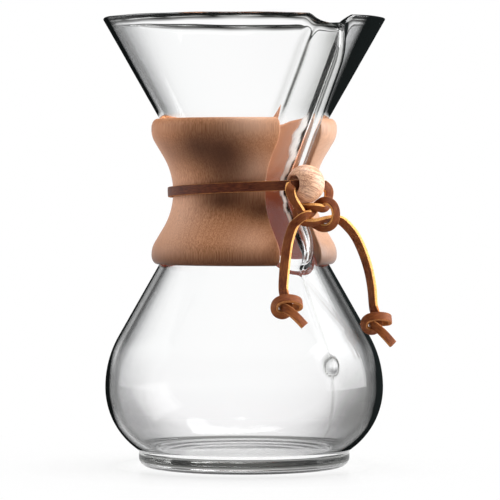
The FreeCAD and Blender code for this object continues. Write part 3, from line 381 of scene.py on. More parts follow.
def between(level, low, low_full, high_full, high):
    """1 between the two full levels, falling to 0 at the low and the high one."""
    return np.interp(level, [low, low_full, high_full, high], [0, 1, 1, 0])


def skin_radius(base, slope, angle, level, inset, hollow):
    """Radius of the glass along level rays from the axis.

    base and slope give the turned wall, angle is counted from the channel, inset is how far inside the
    outer skin the wall lies and hollow how far its meeting with the channel is rounded.
    """
    tube = CHANNEL_RADIUS - inset
    low = base.copy()
    high = base + CHANNEL_STANDS_OUT
    for _ in range(HALVINGS):
        middle = (low + high) / 2
        across = middle * np.sin(angle)
        reach = middle * np.cos(angle)
        wall = (middle - base) * slope
        joined = smooth_least(wall, channel_distance(across, reach, level) - tube, hollow)
        if not inset:
            dome = np.sqrt(across ** 2 + (reach - BUTTON_REACH) ** 2 + (level - BUTTON_LEVEL) ** 2)
            joined = smooth_least(joined, dome - BUTTON_DOME, BUTTON_HOLLOW)
            joined = joined - SEAM_RISE * bell(across, 0, SEAM_WIDE) * (level < CHANNEL_FOOT)
        outside = joined > 0
        high = np.where(outside, middle, high)
        low = np.where(outside, low, middle)
    return (low + high) / 2


def ridge_angle(level):
    """Half the angle that the channel takes up at each height, eased along the height."""
    base = wall_radius(level, 0)
    trial = np.radians(np.linspace(0, 40, 161))
    away = channel_distance(base[:, None] * np.sin(trial), base[:, None] * np.cos(trial),
                            np.broadcast_to(level[:, None], (len(level), len(trial))))
    inside = away < CHANNEL_RADIUS
    widest = np.where(inside.any(axis=1), trial[inside.sum(axis=1) - 1], 0)
    first = np.argmax(widest > NO_RIDGE_BELOW)
    widest[:first] = widest[first]
    window = 2 * EASED_ROWS + 1
    return np.convolve(np.pad(widest, EASED_ROWS, mode="edge"), np.ones(window) / window, mode="valid")


def column_angles(width, count=50):
    """Angles round the axis for each row: crowded where the channel meets the wall, wider elsewhere."""
    crowded = np.concatenate([evenly(0, CROWD_FROM, 16), evenly(CROWD_FROM, CROWD_TO, 30)])
    width = width[:, None]
    near = crowded[None, :] * width
    share = np.linspace(0, 1, count)
    start = CROWD_TO * width
    first_step = STEP_AFTER_CROWD * width * count
    spread = start + first_step * share + (math.pi - start - first_step) * share ** SPREAD_GROWTH
    right = np.concatenate([near, spread[:, :-1]], axis=1)
    return np.concatenate([right, np.full((len(width), 1), math.pi), -right[:, :0:-1]], axis=1)


def lip_level(across, angle):
    """Height of the rim: a hand-finished edge, slightly uneven, with a round hollow over the channel."""
    inside = np.clip(DIP_ROUND ** 2 - across ** 2, 0, None)
    dip = RIM[1] - LIP_DIP + DIP_ROUND - np.sqrt(inside)
    dip = np.where(inside > 0, dip, RIM[1] + 20)
    ripple = 0.10 * (1 + np.sin(5 * angle + 0.7) * np.sin(8 * angle))
    uneven = 0.5 + 0.5 * np.cos(angle - RIM_LOW_AT) + ripple
    return smooth_least(dip, RIM[1] - RIM_UNEVEN * uneven, DIP_EDGE)


def rounded_rim(outer, inner, outer_below, inner_below, height):
    """Rows from the outer skin over the fire-polished rim to the inner skin, a half ellipse."""
    up = unit(outer - outer_below + inner - inner_below) * height
    middle = (outer + inner) / 2
    half = (outer - inner) / 2
    turn = np.radians(np.linspace(0, 180, 13))[1:-1, None, None]
    return middle + half * np.cos(turn) + up * np.sin(turn)


def funnel_rows(inset, hollow, share, base_level, angles):
    """Rows from a level cut up to just under the rim, which follows the lip's dip."""
    slope = math.cos(math.radians(FUNNEL_LEAN))
    top = np.full(angles.shape[1], RIM[1] - LIP_ROUND)
    angle = angles[-1]
    for _ in range(5):
        radius = skin_radius(funnel_radius(top, inset), slope, angle, top, inset, hollow)
        top = lip_level(np.where(np.abs(angle) < 1, radius * np.sin(angle), 99.0), angle) - LIP_ROUND
    level = base_level + (top - base_level)[None, :] * share[:, None]
    radius = skin_radius(funnel_radius(level, inset), slope, angles, level, inset, hollow)
    swell = bell(level, top[None, :], RIM_SWELL_DEEP)
    swell = swell * (1 + 0.35 * np.sin(7 * angles + 1) * np.sin(11 * angles))
    return radius - swell * (RIM_SWELL if inset else 0), level


def glass_skin(inset, hollow):
    """Rows of radius, angle and level from the heel to just under the rim for one side of the wall."""
    side = side_profile(inset)
    neck = line_points(cone_start(inset), (funnel_radius(FUNNEL_FROM, inset), FUNNEL_FROM), 6)
    side = np.concatenate([side, neck])
    run = np.gradient(side, axis=0)
    slope = np.abs(run[:, 1]) / np.linalg.norm(run, axis=1)
    level = side[:, 1]
    funnel_share = np.concatenate([evenly(0, 0.62, 30), evenly(0.62, 0.94, 18),
                                   np.linspace(0.94, 1, 20)])
    rough_level = FUNNEL_FROM + (RIM[1] - FUNNEL_FROM) * funnel_share
    angles = column_angles(ridge_angle(np.concatenate([level, rough_level])))
    low_angles, high_angles = np.split(angles, [len(level)])
    base = np.broadcast_to(side[:, :1], low_angles.shape)
    levels = np.broadcast_to(level[:, None], low_angles.shape)
    radius = skin_radius(base, slope[:, None], low_angles, levels, inset, hollow)
    radius = np.where(levels < CHANNEL_FROM, base, radius)
    high_radius, high_level = funnel_rows(inset, hollow, funnel_share, FUNNEL_FROM, high_angles)
    return MM * np.concatenate([around(radius, low_angles, levels),
                                around(high_radius, high_angles, high_level)])


def foot_profile():
    """Radius and height from near the middle of the underside to the corner above the foot ring."""
    dome = (FOOT_INNER ** 2 + PUSH_UP ** 2) / (2 * PUSH_UP)
    radius = np.array([2, 10, 18, 26, 33, 38, 41, 42.4])
    under = np.stack([radius, PUSH_UP - dome + np.sqrt(dome ** 2 - radius ** 2)], axis=-1)
    ring = FOOT_RADIUS - FOOT_ROUND
    return np.concatenate([
        under,
        arc_points((FOOT_INNER + 0.4, FOOT_EDGE), FOOT_EDGE, 215, 270, 5),
        line_points((FOOT_INNER + 0.4, 0), (ring, 0), 3),
        arc_points((ring, FOOT_ROUND), FOOT_ROUND, -90, 0, 12),
        line_points((FOOT_RADIUS, FOOT_ROUND), (FOOT_RADIUS, FOOT_TOP), 3),
        arc_points((FOOT_RADIUS + FOOT_HOLLOW, FOOT_TOP), FOOT_HOLLOW, 180, 140, 5),
    ])


def painted_rim_and_foot_lines(level, radius, angle, rim_rows):
    """Painted dark lines, as the shade that thick edges show: under the rounded rim, on its inner side,
    and round the foot.
    """
    below = level[rim_rows].max(axis=0) - level
    turn = np.radians(angle)
    ripple = 0.8 + 0.25 * np.sin(3 * turn + 3.5) * np.sin(11 * turn)
    inner_side = np.arange(len(level))[:, None] >= (rim_rows.start + rim_rows.stop) // 2
    wavy = 0.65 + 0.25 * np.sin(23 * turn) * np.sin(9 * turn + 1)
    inner_line = bell(below, wavy, 0.5) * (1.15 + 0.35 * np.sin(17 * turn + 1) * np.sin(29 * turn))
    foot = between(level, 2.4, 3.2, 6.2, 7.4) * (radius > FOOT_RADIUS - 3)
    rim = bell(below, 1.7, 0.42) * ripple + inner_line * inner_side
    return rim * (level > 200) + 0.7 * foot


def painted_channel_shading(level, across, angle, widths):
    """Painted dark lines at the channel's edges, painted grey shade in its middle, and a painted
    highlight for the bright streak at the collar.
    """
    share = angle / np.degrees(widths)
    up = between(level, 163, 172, 204, 212)
    wavy = 0.02 * np.sin(0.55 * level) + 0.015 * np.sin(1.3 * level + 1)
    dark = 0.32 * bell(share, -1.26, 0.14) + 0.80 * bell(share, -0.97, 0.05)
    dark = dark + 0.6 * bell(share, 0.74 + wavy, 0.05) + 0.5 * bell(share, 0.98, 0.06)
    middle = np.interp(level, [120, 142, 150], [-4.1, -4.5, -4.9]) + 0.5 * np.sin(0.35 * level)
    reach = np.interp(level, [125, 140, 150], [0.8, 1.2, 1.9])
    streak = bell(across, middle + 0.3 * np.sin(0.9 * level), reach)
    bright = 3 * streak * between(level, 108, 118, 164, 172) - 1.2
    return dark * up, 0.44 * bell(share, -0.1, 0.5) * up, bright


def outline_shade_onset(level, angle):
    """How soon the painted outline shade begins: sooner at the side left in shade, later inside the
    collar.
    """
    tone = 1.02 + 0.05 * np.cos(np.radians(angle - SHADED_SIDE))
    tone = tone * np.interp(level, [20, 30, 44, 56, 165, 172], [1.0, 1.11, 1.11, 1.0, 1.0, 1.11])
    funnel = np.interp(level, [165, 178, 200, 216], [0, 0.4, 0.9, 1])
    tone = tone + (0.32 * bell(angle, 24, 12) - 0.17 * bell(angle, SHADED_SIDE, 20)) * funnel
    return tone * (1 - 0.7 * between(level, 96, 100, 164, 169))


def painted_grey_shade(level, angle, outside):
    """Painted grey shade on the wall: at the heel, most on its shaded side, and outside on the funnel's
    left.
    """
    grey = np.interp(level, [0, 9, 15, 24, 38, 56], [0.15, 0.12, 0.8, 1.0, 0.6, 0.0])
    grey = grey * (0.88 + 0.12 * np.cos(np.radians(angle - SHADED_SIDE)))
    return grey + 0.8 * bell(angle, -22, 24) * np.interp(level, [165, 200], [0, 1]) * outside


def painted_button_and_seam_lines(level, across):
    """Painted dark lines, as shade, round the button and along the seam that the mould leaves."""
    away = np.hypot(across, level - BUTTON_LEVEL)
    seam = bell(across, 0, 0.5) * (level < CHANNEL_FOOT) * (level > 12) * (away > 5)
    return 0.7 * bell(away, 4.3, 0.8) + 0.28 * seam


def painted_glass_shading(points, skins):
    """Four numbers at each point: how soon the wall darkens, how grey, how dark and how bright it is.

    All four are painted light and shade in the glass's colour: painted grey shade, painted dark lines
    and a painted highlight. The first number is 0 on the level floor and underside, where the wall would
    be seen edge on from every side. The third draws painted dark lines where a thick edge would show
    shade, and the fourth the painted highlight of the channel's bright streak. skins holds the row
    numbers where the outer skin, the rim, the inner skin and the floor start.
    """
    outer_from, rim_from, inner_from, floor_from = skins
    level = points[..., 2] / MM
    radius = np.hypot(points[..., 0], points[..., 1]) / MM
    angle = np.degrees(np.arctan2(points[..., 0], -points[..., 1]))
    across = points[..., 0] / MM
    row = np.broadcast_to(np.arange(len(points))[:, None], level.shape)
    outside = row < rim_from
    front = np.abs(angle) < FRONT_HALF
    tone = np.where((row < outer_from) | (row >= floor_from), 0, outline_shade_onset(level, angle))
    grey = np.where((row < outer_from) & (radius < FOOT_INNER), 0, painted_grey_shade(level, angle, outside))
    steps = np.linspace(100, RIM[1], 200)
    widths = np.interp(level, steps, ridge_angle(steps))
    dark, shade, bright = painted_channel_shading(level, across, angle, widths)
    heel = between(level, 12, 20, 34, 50) * (tone > 0)
    line = painted_rim_and_foot_lines(level, radius, angle, slice(rim_from, inner_from))
    # Painted shade on the heel's shaded side.
    line = line + 0.34 * bell(angle, SHADED_SIDE, 40) * heel
    line = line + np.where(outside & front, painted_button_and_seam_lines(level, across) + dark, 0)
    line = line + np.where(front, shade, 0)
    bright = np.where(outside & front, bright, 0)
    return np.stack([tone, grey, np.clip(line, 0, 1), np.clip(bright, 0, 1)], axis=-1)


def make_glass():
    """The whole glass as one closed skin: underside, foot, outer side, rim, inner side and floor."""
    outer = glass_skin(0, OUTER_HOLLOW)
    inner = glass_skin(WALL, INNER_HOLLOW)
    rim = rounded_rim(outer[-1], inner[-1], outer[-2], inner[-2], LIP_ROUND * MM)
    foot = foot_profile()
    angles = np.arctan2(outer[:1, :, 0], -outer[:1, :, 1])
    underside = around(foot[:, :1], angles, foot[:, 1:]) * MM
    floor_radius = np.array([43.0, 41.5, 38, 33, 26, 18, 10, 2])[:, None]
    floor_level = FLOOR + 0.5 * np.exp((floor_radius - 43.1) / 1.2)
    floor = around(floor_radius, angles, floor_level) * MM
    rows = np.concatenate([underside, outer, rim, inner[::-1], floor])
    points, faces = closed_grid(rows, [0, 0, PUSH_UP * MM], [0, 0, FLOOR * MM])
    glass = mesh_from("glass", points, faces)
    skins = np.cumsum([len(underside), len(outer), len(rim), len(inner)])
    # Painted light and shade for the glass's colour, four numbers at each point.
    marks = np.concatenate([painted_glass_shading(rows, skins).reshape(-1, 4), np.zeros((2, 4))])
    add_attribute(glass, "painted_glass_shading", "FLOAT_COLOR", marks)
    print("glass: %d rows of %d, %d faces" % (*rows.shape[:2], len(glass.data.polygons)))
    return glass


glass = make_glass()
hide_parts("glass_carafe")
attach(glass, "brewer")

# %% [markdown]
# ## Clear glass
#
# Clear glass shows mostly what is behind it. Three things make it look like glass and not like air: it
# bends what is seen through it, it reflects at a low angle, and it is dark along its outline. Here the
# greys, the dark outline and the dark lines are painted shade in the glass's colour, and the channel's
# bright streak is a painted highlight.

# %% Material helpers
def new_material(name):
    """An empty node material and its tree."""
    material = bpy.data.materials.new(name)
    material.use_nodes = True
    material.node_tree.nodes.clear()
    return material, material.node_tree


def node(tree, kind, inputs=(), **settings):
    """A shader node with its settings, then its inputs by name or number, each a socket or a value."""
    made = tree.nodes.new("ShaderNode" + kind)
    for key, value in settings.items():
        setattr(made, key, value)
    for key, value in dict(inputs).items():
        if hasattr(value, "is_output"):
            tree.links.new(value, made.inputs[key])
        else:
            made.inputs[key].default_value = value
    return made


def ramp(tree, source, stops):
    """A colour ramp from a source socket through stops, each a position with a grey or a colour."""
    made = node(tree, "ValToRGB", {0: source})
    elements = made.color_ramp.elements
    while len(elements) < len(stops):
        elements.new(0.5)
    for element, (position, colour) in zip(elements, stops):
        element.position = position
        element.color = (*colour, 1) if isinstance(colour, tuple) else (colour, colour, colour, 1)
    return made.outputs["Color"]


def blend_colours(tree, share, first, second, how="MIX"):
    """Two colours mixed by a share, each a socket or three numbers."""
    first, second = (c if hasattr(c, "is_output") else (*c, 1) for c in (first, second))
    mix = node(tree, "Mix", {0: share, 6: first, 7: second}, data_type="RGBA", blend_type=how)
    return mix.outputs[2]


def blend_shaders(tree, share, first, second):
    """Two shaders mixed by a share."""
    return node(tree, "MixShader", {0: share, 1: first, 2: second}).outputs[0]


def maths(tree, how, *values):
    """A sum worked out on sockets or numbers."""
    return node(tree, "Math", dict(enumerate(values)), operation=how).outputs[0]


def vector_maths(tree, how, output, *vectors):
    """A sum worked out on vectors, read from an output by its name."""
    return node(tree, "VectorMath", dict(enumerate(vectors)), operation=how).outputs[output]


def split(tree, vector):
    """The three numbers of a vector or colour by the names X, Y and Z."""
    return node(tree, "SeparateXYZ", {0: vector}).outputs


def noise(tree, vector, scale, detail):
    """Noise from 0 to 1 at a scale, with a number of finer layers."""
    return node(tree, "TexNoise", {"Vector": vector, "Scale": scale, "Detail": detail}).outputs["Fac"]


def mapping(tree, vector, **changes):
    """A vector moved by Location, turned by Rotation or scaled by Scale."""
    return node(tree, "Mapping", {"Vector": vector, **changes}).outputs[0]


def bump(tree, height, strength, distance):
    """A normal that follows a height."""
    return node(tree, "Bump", {"Height": height, "Strength": strength, "Distance": distance}).outputs[0]


print("helpers for nodes, ramps, blends, maths, noise and bumps")

# %% Glass material
# Painted shade: the greys and the black that the glass takes toward its outline and along its painted
# lines.
OUTLINE_SHADE_TONES = [(0.0, (1.0, 1.0, 1.0)), (0.34, (0.985, 0.99, 0.99)), (0.42, (0.95, 0.955, 0.955)),
               (0.51, (0.80, 0.805, 0.81)), (0.63, (0.46, 0.465, 0.47)), (0.76, (0.22, 0.225, 0.225))]
GREY_SHADE_TONES = [(0.0, (0.97, 0.972, 0.975)), (0.22, (0.945, 0.94, 0.945)), (0.30, (0.77, 0.765, 0.77)),
               (0.38, (0.45, 0.445, 0.45)), (0.46, (0.29, 0.285, 0.29)), (0.76, (0.20, 0.20, 0.20))]
OUTLINE_BLACK_SHADE = [(0.70, 0.0), (0.83, 1.0)]
PAINTED_LINE_RAMP = [(0.45, 0.0), (0.95, 0.95)]
PAINTED_LINE_COLOUR = (0.07, 0.075, 0.045)


def glass_material():
    """Clear glass that grows grey and then black where it is seen edge on.

    The layer weight is 0 where the wall faces the eye and 1 at its outline. Two ramps of painted grey
    shade, a plain one and one for the places marked grey, darken what is seen through it, and a third
    gives way to black glass at the outline, which is painted shade too. The marked lines are painted
    dark lines, and a pale shader paints the channel's bright streak as a highlight.
    Light that reaches the wood behind the glass would be lost in a path through two curved walls, so
    shadow and diffuse rays pass straight on.
    """
    material, tree = new_material("clear_glass")
    given = node(tree, "Attribute", attribute_name="painted_glass_shading").outputs
    marks = split(tree, given["Color"])
    weight = node(tree, "LayerWeight", {"Blend": 0.5})
    edge_on = maths(tree, "MULTIPLY", weight.outputs["Facing"], marks["X"])
    thin, thick, outline = (ramp(tree, edge_on, stops)
                            for stops in (OUTLINE_SHADE_TONES, GREY_SHADE_TONES, OUTLINE_BLACK_SHADE))
    tone = blend_colours(tree, marks["Z"], blend_colours(tree, marks["Y"], thin, thick), PAINTED_LINE_COLOUR)
    body = node(tree, "BsdfPrincipled", {
        "Base Color": tone, "Roughness": 0.0, "IOR": 1.47, "Transmission Weight": 1.0,
        "Specular Tint": (0.3, 0.3, 0.3, 1)})
    # Black glass: painted shade at the outline and along the painted lines.
    black = node(tree, "BsdfPrincipled", {
        "Base Color": (0.004, 0.005, 0.005, 1), "Roughness": 0.3, "Specular IOR Level": 0.0})
    # A pale shader: the painted highlight of the channel's bright streak.
    pale = node(tree, "BsdfPrincipled", {"Base Color": (0.93, 0.90, 0.87, 1), "Roughness": 0.2})
    clear = node(tree, "BsdfTransparent", {"Color": (0.95, 0.955, 0.95, 1)})
    rays = node(tree, "LightPath").outputs
    passing = maths(tree, "MAXIMUM", rays["Is Shadow Ray"], rays["Is Diffuse Ray"])
    dark = maths(tree, "MAXIMUM", outline, ramp(tree, marks["Z"], PAINTED_LINE_RAMP))
    shader = blend_shaders(tree, dark, body.outputs[0], black.outputs[0])
    shader = blend_shaders(tree, given["Alpha"], shader, pale.outputs[0])
    shader = blend_shaders(tree, passing, shader, clear.outputs[0])
    node(tree, "OutputMaterial", {0: shader})
    return material


glass.data.materials.append(glass_material())
print("clear glass on", glass.name)

# %% [markdown]
# ## The wooden collar
#
# The collar is turned round the waist of the glass: hollow outside, thick at both ends, and fitted to
# the glass inside. It is then sawn in two, with a wide slot in front for the channel and a narrow one at
# the back. The model's halves are right, but a turned and sanded piece has softer swells than a drawn
# one. So each half is made again as a closed section swept round the axis. The sawn faces are flat and
# lie beside the middle plane, so each point of the section gets its own first and last angle, and the
# last steps before a sawn face follow a quarter circle, which rounds its edge.

# %% Sizes of the collar in millimetres
COLLAR_TOP = 166.6
COLLAR_BOTTOM = 97.0
COLLAR_RADIUS = 44.5
COLLAR_GAP = 0.3
WAIST = (67.7, 131.5)
WAIST_BEND = 33.6
FLANK = 31.0
SWELL = 12.0
EDGE_WIDE = 2.9
EDGE_HIGH = 4.4
FRONT_SLOT = 12.1
REAR_SLOT = 2.5
SLOT_EDGE = 1.0


def collar_half_outline(way):
    """Outer side from the end to the waist, for the upper (way 1) or the lower half (way -1).

    A quarter ellipse round the end, an arc over the swell, a straight flank and the waist's circle.
    """
    end = COLLAR_TOP if way > 0 else COLLAR_BOTTOM
    lean = math.radians(FLANK)
    flank = on_circle(WAIST, WAIST_BEND, 180 - FLANK)
    touch = COLLAR_RADIUS - SWELL + SWELL * math.cos(lean)
    above = flank[1] - WAIST[1] + (touch - flank[0]) / math.tan(lean) + SWELL * math.sin(lean)
    turn = np.radians(np.linspace(90, 0, 12))
    edge = np.stack([COLLAR_RADIUS - EDGE_WIDE + EDGE_WIDE * np.cos(turn),
                     end - way * EDGE_HIGH * (1 - np.sin(turn))], axis=-1)
    swell = arc_points((COLLAR_RADIUS - SWELL, above), SWELL, 0, -FLANK, 10)
    straight = line_points((touch, above - SWELL * math.sin(lean)), (flank[0], flank[1] - WAIST[1]), 6)
    waist = arc_points((WAIST[0], 0), WAIST_BEND, 180 - FLANK, 180, 22)
    lower = np.concatenate([swell, straight, waist])
    lower[:, 1] = WAIST[1] + way * lower[:, 1]
    return np.concatenate([edge, lower])


def collar_section():
    """Closed section of the collar: down the outer side, then up along the glass."""
    upper = collar_half_outline(1)
    lower = collar_half_outline(-1)[::-1]
    outer = np.concatenate([upper, [[WAIST[0] - WAIST_BEND, WAIST[1]]], lower])
    level = np.linspace(COLLAR_BOTTOM, COLLAR_TOP, 60)
    inner = np.stack([wall_radius(level, -COLLAR_GAP), level], axis=-1)
    return outer, inner


def drawn_in(section, outer, inner, depth):
    """The section moved by a depth towards the middle of the wood."""
    level = np.clip(section[:, 1], COLLAR_BOTTOM + 2, COLLAR_TOP - 2)
    outside = np.interp(-level, -outer[:, 1], outer[:, 0])
    inside = np.interp(level, inner[:, 1], inner[:, 0])
    toward = unit(np.stack([(outside + inside) / 2, level], axis=-1) - section)
    return section + toward * depth


def swept_rows(outer, inner):
    """Rows of the right half: its eased edge at the front slot, the turned part and the rear edge."""
    section = np.concatenate([outer, inner])
    front, rear = [], []
    for turn in np.radians(np.linspace(0, 90, 7))[:-1]:
        moved = drawn_in(section, outer, inner, SLOT_EDGE * (1 - math.sin(turn)))
        step = SLOT_EDGE * (1 - math.cos(turn))
        for columns, slot, way in ((front, FRONT_SLOT, -1), (rear, REAR_SLOT, 1)):
            across = np.full(len(moved), slot + step)
            away = way * np.sqrt(moved[:, 0] ** 2 - across ** 2)
            columns.append(np.stack([across, away, moved[:, 1]], axis=-1))
    first = np.arcsin((FRONT_SLOT + SLOT_EDGE) / section[:, 0])
    last = np.pi - np.arcsin((REAR_SLOT + SLOT_EDGE) / section[:, 0])
    angle = first + (last - first) * np.linspace(0, 1, 90)[:, None]
    turned = around(section[:, 0], angle, section[:, 1])
    return np.concatenate([np.array(front), turned, np.array(rear)[::-1]])


def make_collar_half(label, side):
    """One half of the collar as a closed section swept from the front slot round to the rear one."""
    outer, inner = collar_section()
    rows = swept_rows(outer, inner) * (side, 1, 1)
    count, columns = rows.shape[:2]
    column = np.arange(columns)
    faces = [grid_faces(count, columns), column[None, ::-1], (column + (count - 1) * columns)[None]]
    if side < 0:
        faces = flipped(faces)
    half = mesh_from("collar_" + label, rows.reshape(-1, 3) * MM, faces)
    add_attribute(half, "bare", "FLOAT", np.tile(column >= len(outer), count))
    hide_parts("collar_half_" + label)
    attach(half, "brewer")
    print("collar %s: %d faces" % (label, len(half.data.polygons)))
    return half


COLLAR = {"left": make_collar_half("left", -1), "right": make_collar_half("right", 1)}

# %% [markdown]
# ## The leather lace
#
# One flat lace, 4.7 by 2.1 mm, runs round the collar and twice through the bead. Below the bead its two
# ends are tied in a reef knot, hang down, and end in an overhand knot each. A bevelled curve would be
# the quick way, but its twist can't be steered, and flat leather shows its dark face in one place and
# its pale cut edge in the next. So each end is a smooth spline with its points listed, a second
# spline says which way the face looks, a third how wide the lace is drawn, and a rounded strip section
# is carried along all three. The pieces are then cut from one strip, so no joint shows.

# %% Lace points
LACE_WIDE = 4.7
LACE_THICK = 2.1
KNOT_WIDE = 3.9
KNOT_THICK = 1.9
END_WIDE_FIRST, END_WIDE = 4.4, 4.0
KNOT_TURN = 30.0
TAIL_TURN = 38.5
KNOT_CENTRE = (5.2, -49.2, 120.5)
LEFT_ROPE = [
    (-14.05, 5.86, 14.4), (-14.8, 7.4, 12.2), (-13.4, 7.2, 8.2), (-10.6, 5.3, 4.6), (-6.5, -1, 0),
    (-2, -3, -3.5), (2.5, -1, -6.3), (6.9, 2, -4.5), (8.2, 3, 0.8), (6.9, 2.5, 5.5), (3.3, 0.5, 7.6),
    (-0.5, -2.5, 5), (-3, 0, 1), (-7, 4.5, 0.5), (-10.5, 2.5, -2.5), (-12.5, 2.5, -5),
]
LEFT_ROPE_FACE = [
    (0.5, 0.87, 0), (-0.2, 0.9, -0.3), (-0.5, 0.75, -0.35), (-0.5, 0.75, -0.4), (-0.45, 0.8, -0.4),
    (-0.3, 0.85, -0.4), (-0.1, 0.85, -0.5), (0.25, 0.9, -0.3), (0.35, 0.93, 0), (0.2, 0.9, 0.35),
    (0, 0.85, 0.5), (-0.2, 0.95, 0.2), (-0.3, 0.95, -0.1), (-0.35, 0.8, -0.45), (-0.5, 0.8, -0.35),
    (-0.5, 0.85, -0.1),
]
RIGHT_ROPE = [
    (3.1, -4, 14.4), (6.2, -5.3, 12.9), (5.5, -4, 7.5), (3.5, -0.5, 3), (-1, 2.5, 4.0),
    (-4.5, 1.5, 4.2), (-8.5, -3.5, 4), (-10.5, -2.5, 0.5), (-8, -0.5, -3), (-3, 2, -3.5),
    (2, 1, -2), (6, -1.5, -1.5), (9.5, -2, -1.5), (12.5, -1.5, -3),
]
RIGHT_ROPE_FACE = [
    (0.5, 0.87, 0), (0.4, 0.9, 0.2), (0.2, 0.97, 0.1), (0, 0.9, -0.4), (0, 0.72, -0.7),
    (-0.2, 0.72, -0.65), (-0.6, 0.7, -0.3), (-0.85, 0.5, 0), (-0.4, 0.7, -0.55), (0, 0.6, -0.8),
    (0.1, 0.6, -0.8), (0, 0.7, -0.7), (-0.2, 0.8, -0.55), (-0.4, 0.85, -0.4),
]
LEFT_TAIL = [
    (-6.9, -45.1, 115.5), (-10.6, -46.2, 108.5), (-13.4, -47.8, 101.0), (-15.7, -49.5, 93.2),
    (-18.0, -51.5, 85.8),
]
LEFT_TAIL_FACE = [
    (-0.5, 0.85, -0.1), (-0.45, 0.87, 0), (-0.42, 0.9, 0), (-0.42, 0.9, 0), (-0.45, 0.87, 0),
]
RIGHT_TAIL = [
    (16.8, -54.1, 117.5), (22.5, -55.6, 111.5), (27.0, -56.0, 103.5), (30.8, -55.8, 95.0),
    (33.4, -55.3, 86.0), (34.7, -54.4, 77.5),
]
RIGHT_TAIL_FACE = [
    (-0.4, 0.85, -0.4), (-0.45, 0.8, -0.45), (-0.6, 0.75, -0.3), (-0.68, 0.72, -0.1), (-0.7, 0.7, 0),
    (-0.7, 0.7, 0),
]
END_KNOT = [
    (0, 0, 0), (1, 0.5, -4), (2.6, -0.5, -9.6), (-0.8, -0.5, -12.4), (-4.8, -0.3, -10.4),
    (-4.4, 2, -6.2), (1, 4, -5), (7, 2, -5.5), (8.5, -1.5, -7), (4, -4.5, -7), (-1.8, -2.5, -7.6),
    (-0.6, 3.0, -9.2), (4.6, 3.6, -14.0), (8.5, 2.5, -18.5),
]
END_KNOT_FACE = [
    (-0.5, 0.87, 0), (-0.4, 0.9, 0), (0.2, 0.8, -0.5), (-0.4, 0.4, -0.85), (-0.85, 0.4, -0.35),
    (-0.7, 0.7, 0.1), (-0.1, 0.95, 0.25), (0.6, 0.8, 0.1), (0.95, -0.2, 0), (0.3, -0.95, 0),
    (-0.8, -0.55, 0), (-0.5, 0.8, -0.3), (0.2, 0.95, 0.1), (0.2, 0.95, 0.2),
]
print("lace points:", [len(given) for given in (LEFT_ROPE, RIGHT_ROPE, LEFT_TAIL, RIGHT_TAIL, END_KNOT)])

# %% Strips along a spline
def facing(points, turn, lean=0):
    """Points or directions given as right, outwards and up, turned about Z and leaned back."""
    about = math.radians(turn)
    back = math.radians(lean)
    right = np.array([math.cos(about), -math.sin(about), 0])
    level = np.array([-math.sin(about), -math.cos(about), 0])
    out = level * math.cos(back) + np.array([0, 0, math.sin(back)])
    up = np.array([0, 0, math.cos(back)]) - level * math.sin(back)
    return np.asarray(points, dtype=float) @ np.stack([right, out, up])


def spline_points(points, steps=14):
    """Points read from a smooth spline of order 3 that has the given points as its control points."""
    curve = bpy.data.curves.new("route", "CURVE")
    curve.dimensions = "3D"
    curve.resolution_u = steps
    spline = curve.splines.new("NURBS")
    spline.points.add(len(points) - 1)
    with_weight = np.concatenate([np.asarray(points, dtype=float), np.ones((len(points), 1))], axis=1)
    spline.points.foreach_set("co", with_weight.ravel())
    spline.order_u = 3
    spline.use_endpoint_u = True
    holder = bpy.data.objects.new("route", curve)
    mesh = bpy.data.meshes.new_from_object(holder)
    read = np.empty(len(mesh.vertices) * 3)
    mesh.vertices.foreach_get("co", read)
    bpy.data.objects.remove(holder)
    bpy.data.curves.remove(curve)
    bpy.data.meshes.remove(mesh)
    return read.reshape(-1, 3)


def lengths_along(path):
    """Length from a path's start to each of its points."""
    return np.concatenate([[0], np.cumsum(np.linalg.norm(np.diff(path, axis=0), axis=1))])


def strip_section():
    """A strip's section as shares of its half width and half thickness: four rounded corners.

    Between the corners each broad face has three points more, slightly raised, as pressed leather has.
    """
    turn = np.radians(np.linspace(0, 90, 5))
    corner = np.stack([0.8 + 0.2 * np.cos(turn), 0.62 + 0.38 * np.sin(turn)], axis=-1)
    broad = np.array([[0.45, 1.03], [0.0, 1.05], [-0.45, 1.03]])
    left = corner[::-1] * (-1, 1)
    upper = np.concatenate([corner, broad, left])
    return np.concatenate([upper, -upper])


SECTION = strip_section()
print("section of the lace: %d points" % len(SECTION))


def strip(name, path, face, size):
    """A closed strip along a path in millimetres.

    At each point the section's height follows the face direction made square to the path, and its width
    the direction square to both. size holds width and thickness at each point.
    """
    run = unit(np.gradient(path, axis=0))
    up = unit(face - (face * run).sum(axis=1, keepdims=True) * run)
    side = np.cross(run, up)
    across = SECTION[None, :, 0] * size[:, :1] / 2
    high = SECTION[None, :, 1] * size[:, 1:2] / 2
    rings = path[:, None] + across[..., None] * side[:, None] + high[..., None] * up[:, None]
    points, faces = closed_grid(rings * MM, path[0] * MM, path[-1] * MM)
    piece = mesh_from(name, points, flipped(faces))
    length = lengths_along(path)
    lengths = np.append(np.repeat(length, len(SECTION)), [length[0], length[-1]])
    shares = np.concatenate([np.tile(SECTION, (len(path), 1)), [[0, 0], [0, 0]]])
    along = np.stack([shares[:, 0] * LACE_WIDE / 20, lengths / 10], axis=-1)
    corner = np.empty(len(piece.data.loops), dtype=np.int32)
    piece.data.loops.foreach_get("vertex_index", corner)
    for label, values in (("section", shares), ("along", along)):
        layer = piece.data.uv_layers.new(name=label)
        layer.data.foreach_set("uv", values[corner].astype(np.float32).ravel())
    return piece


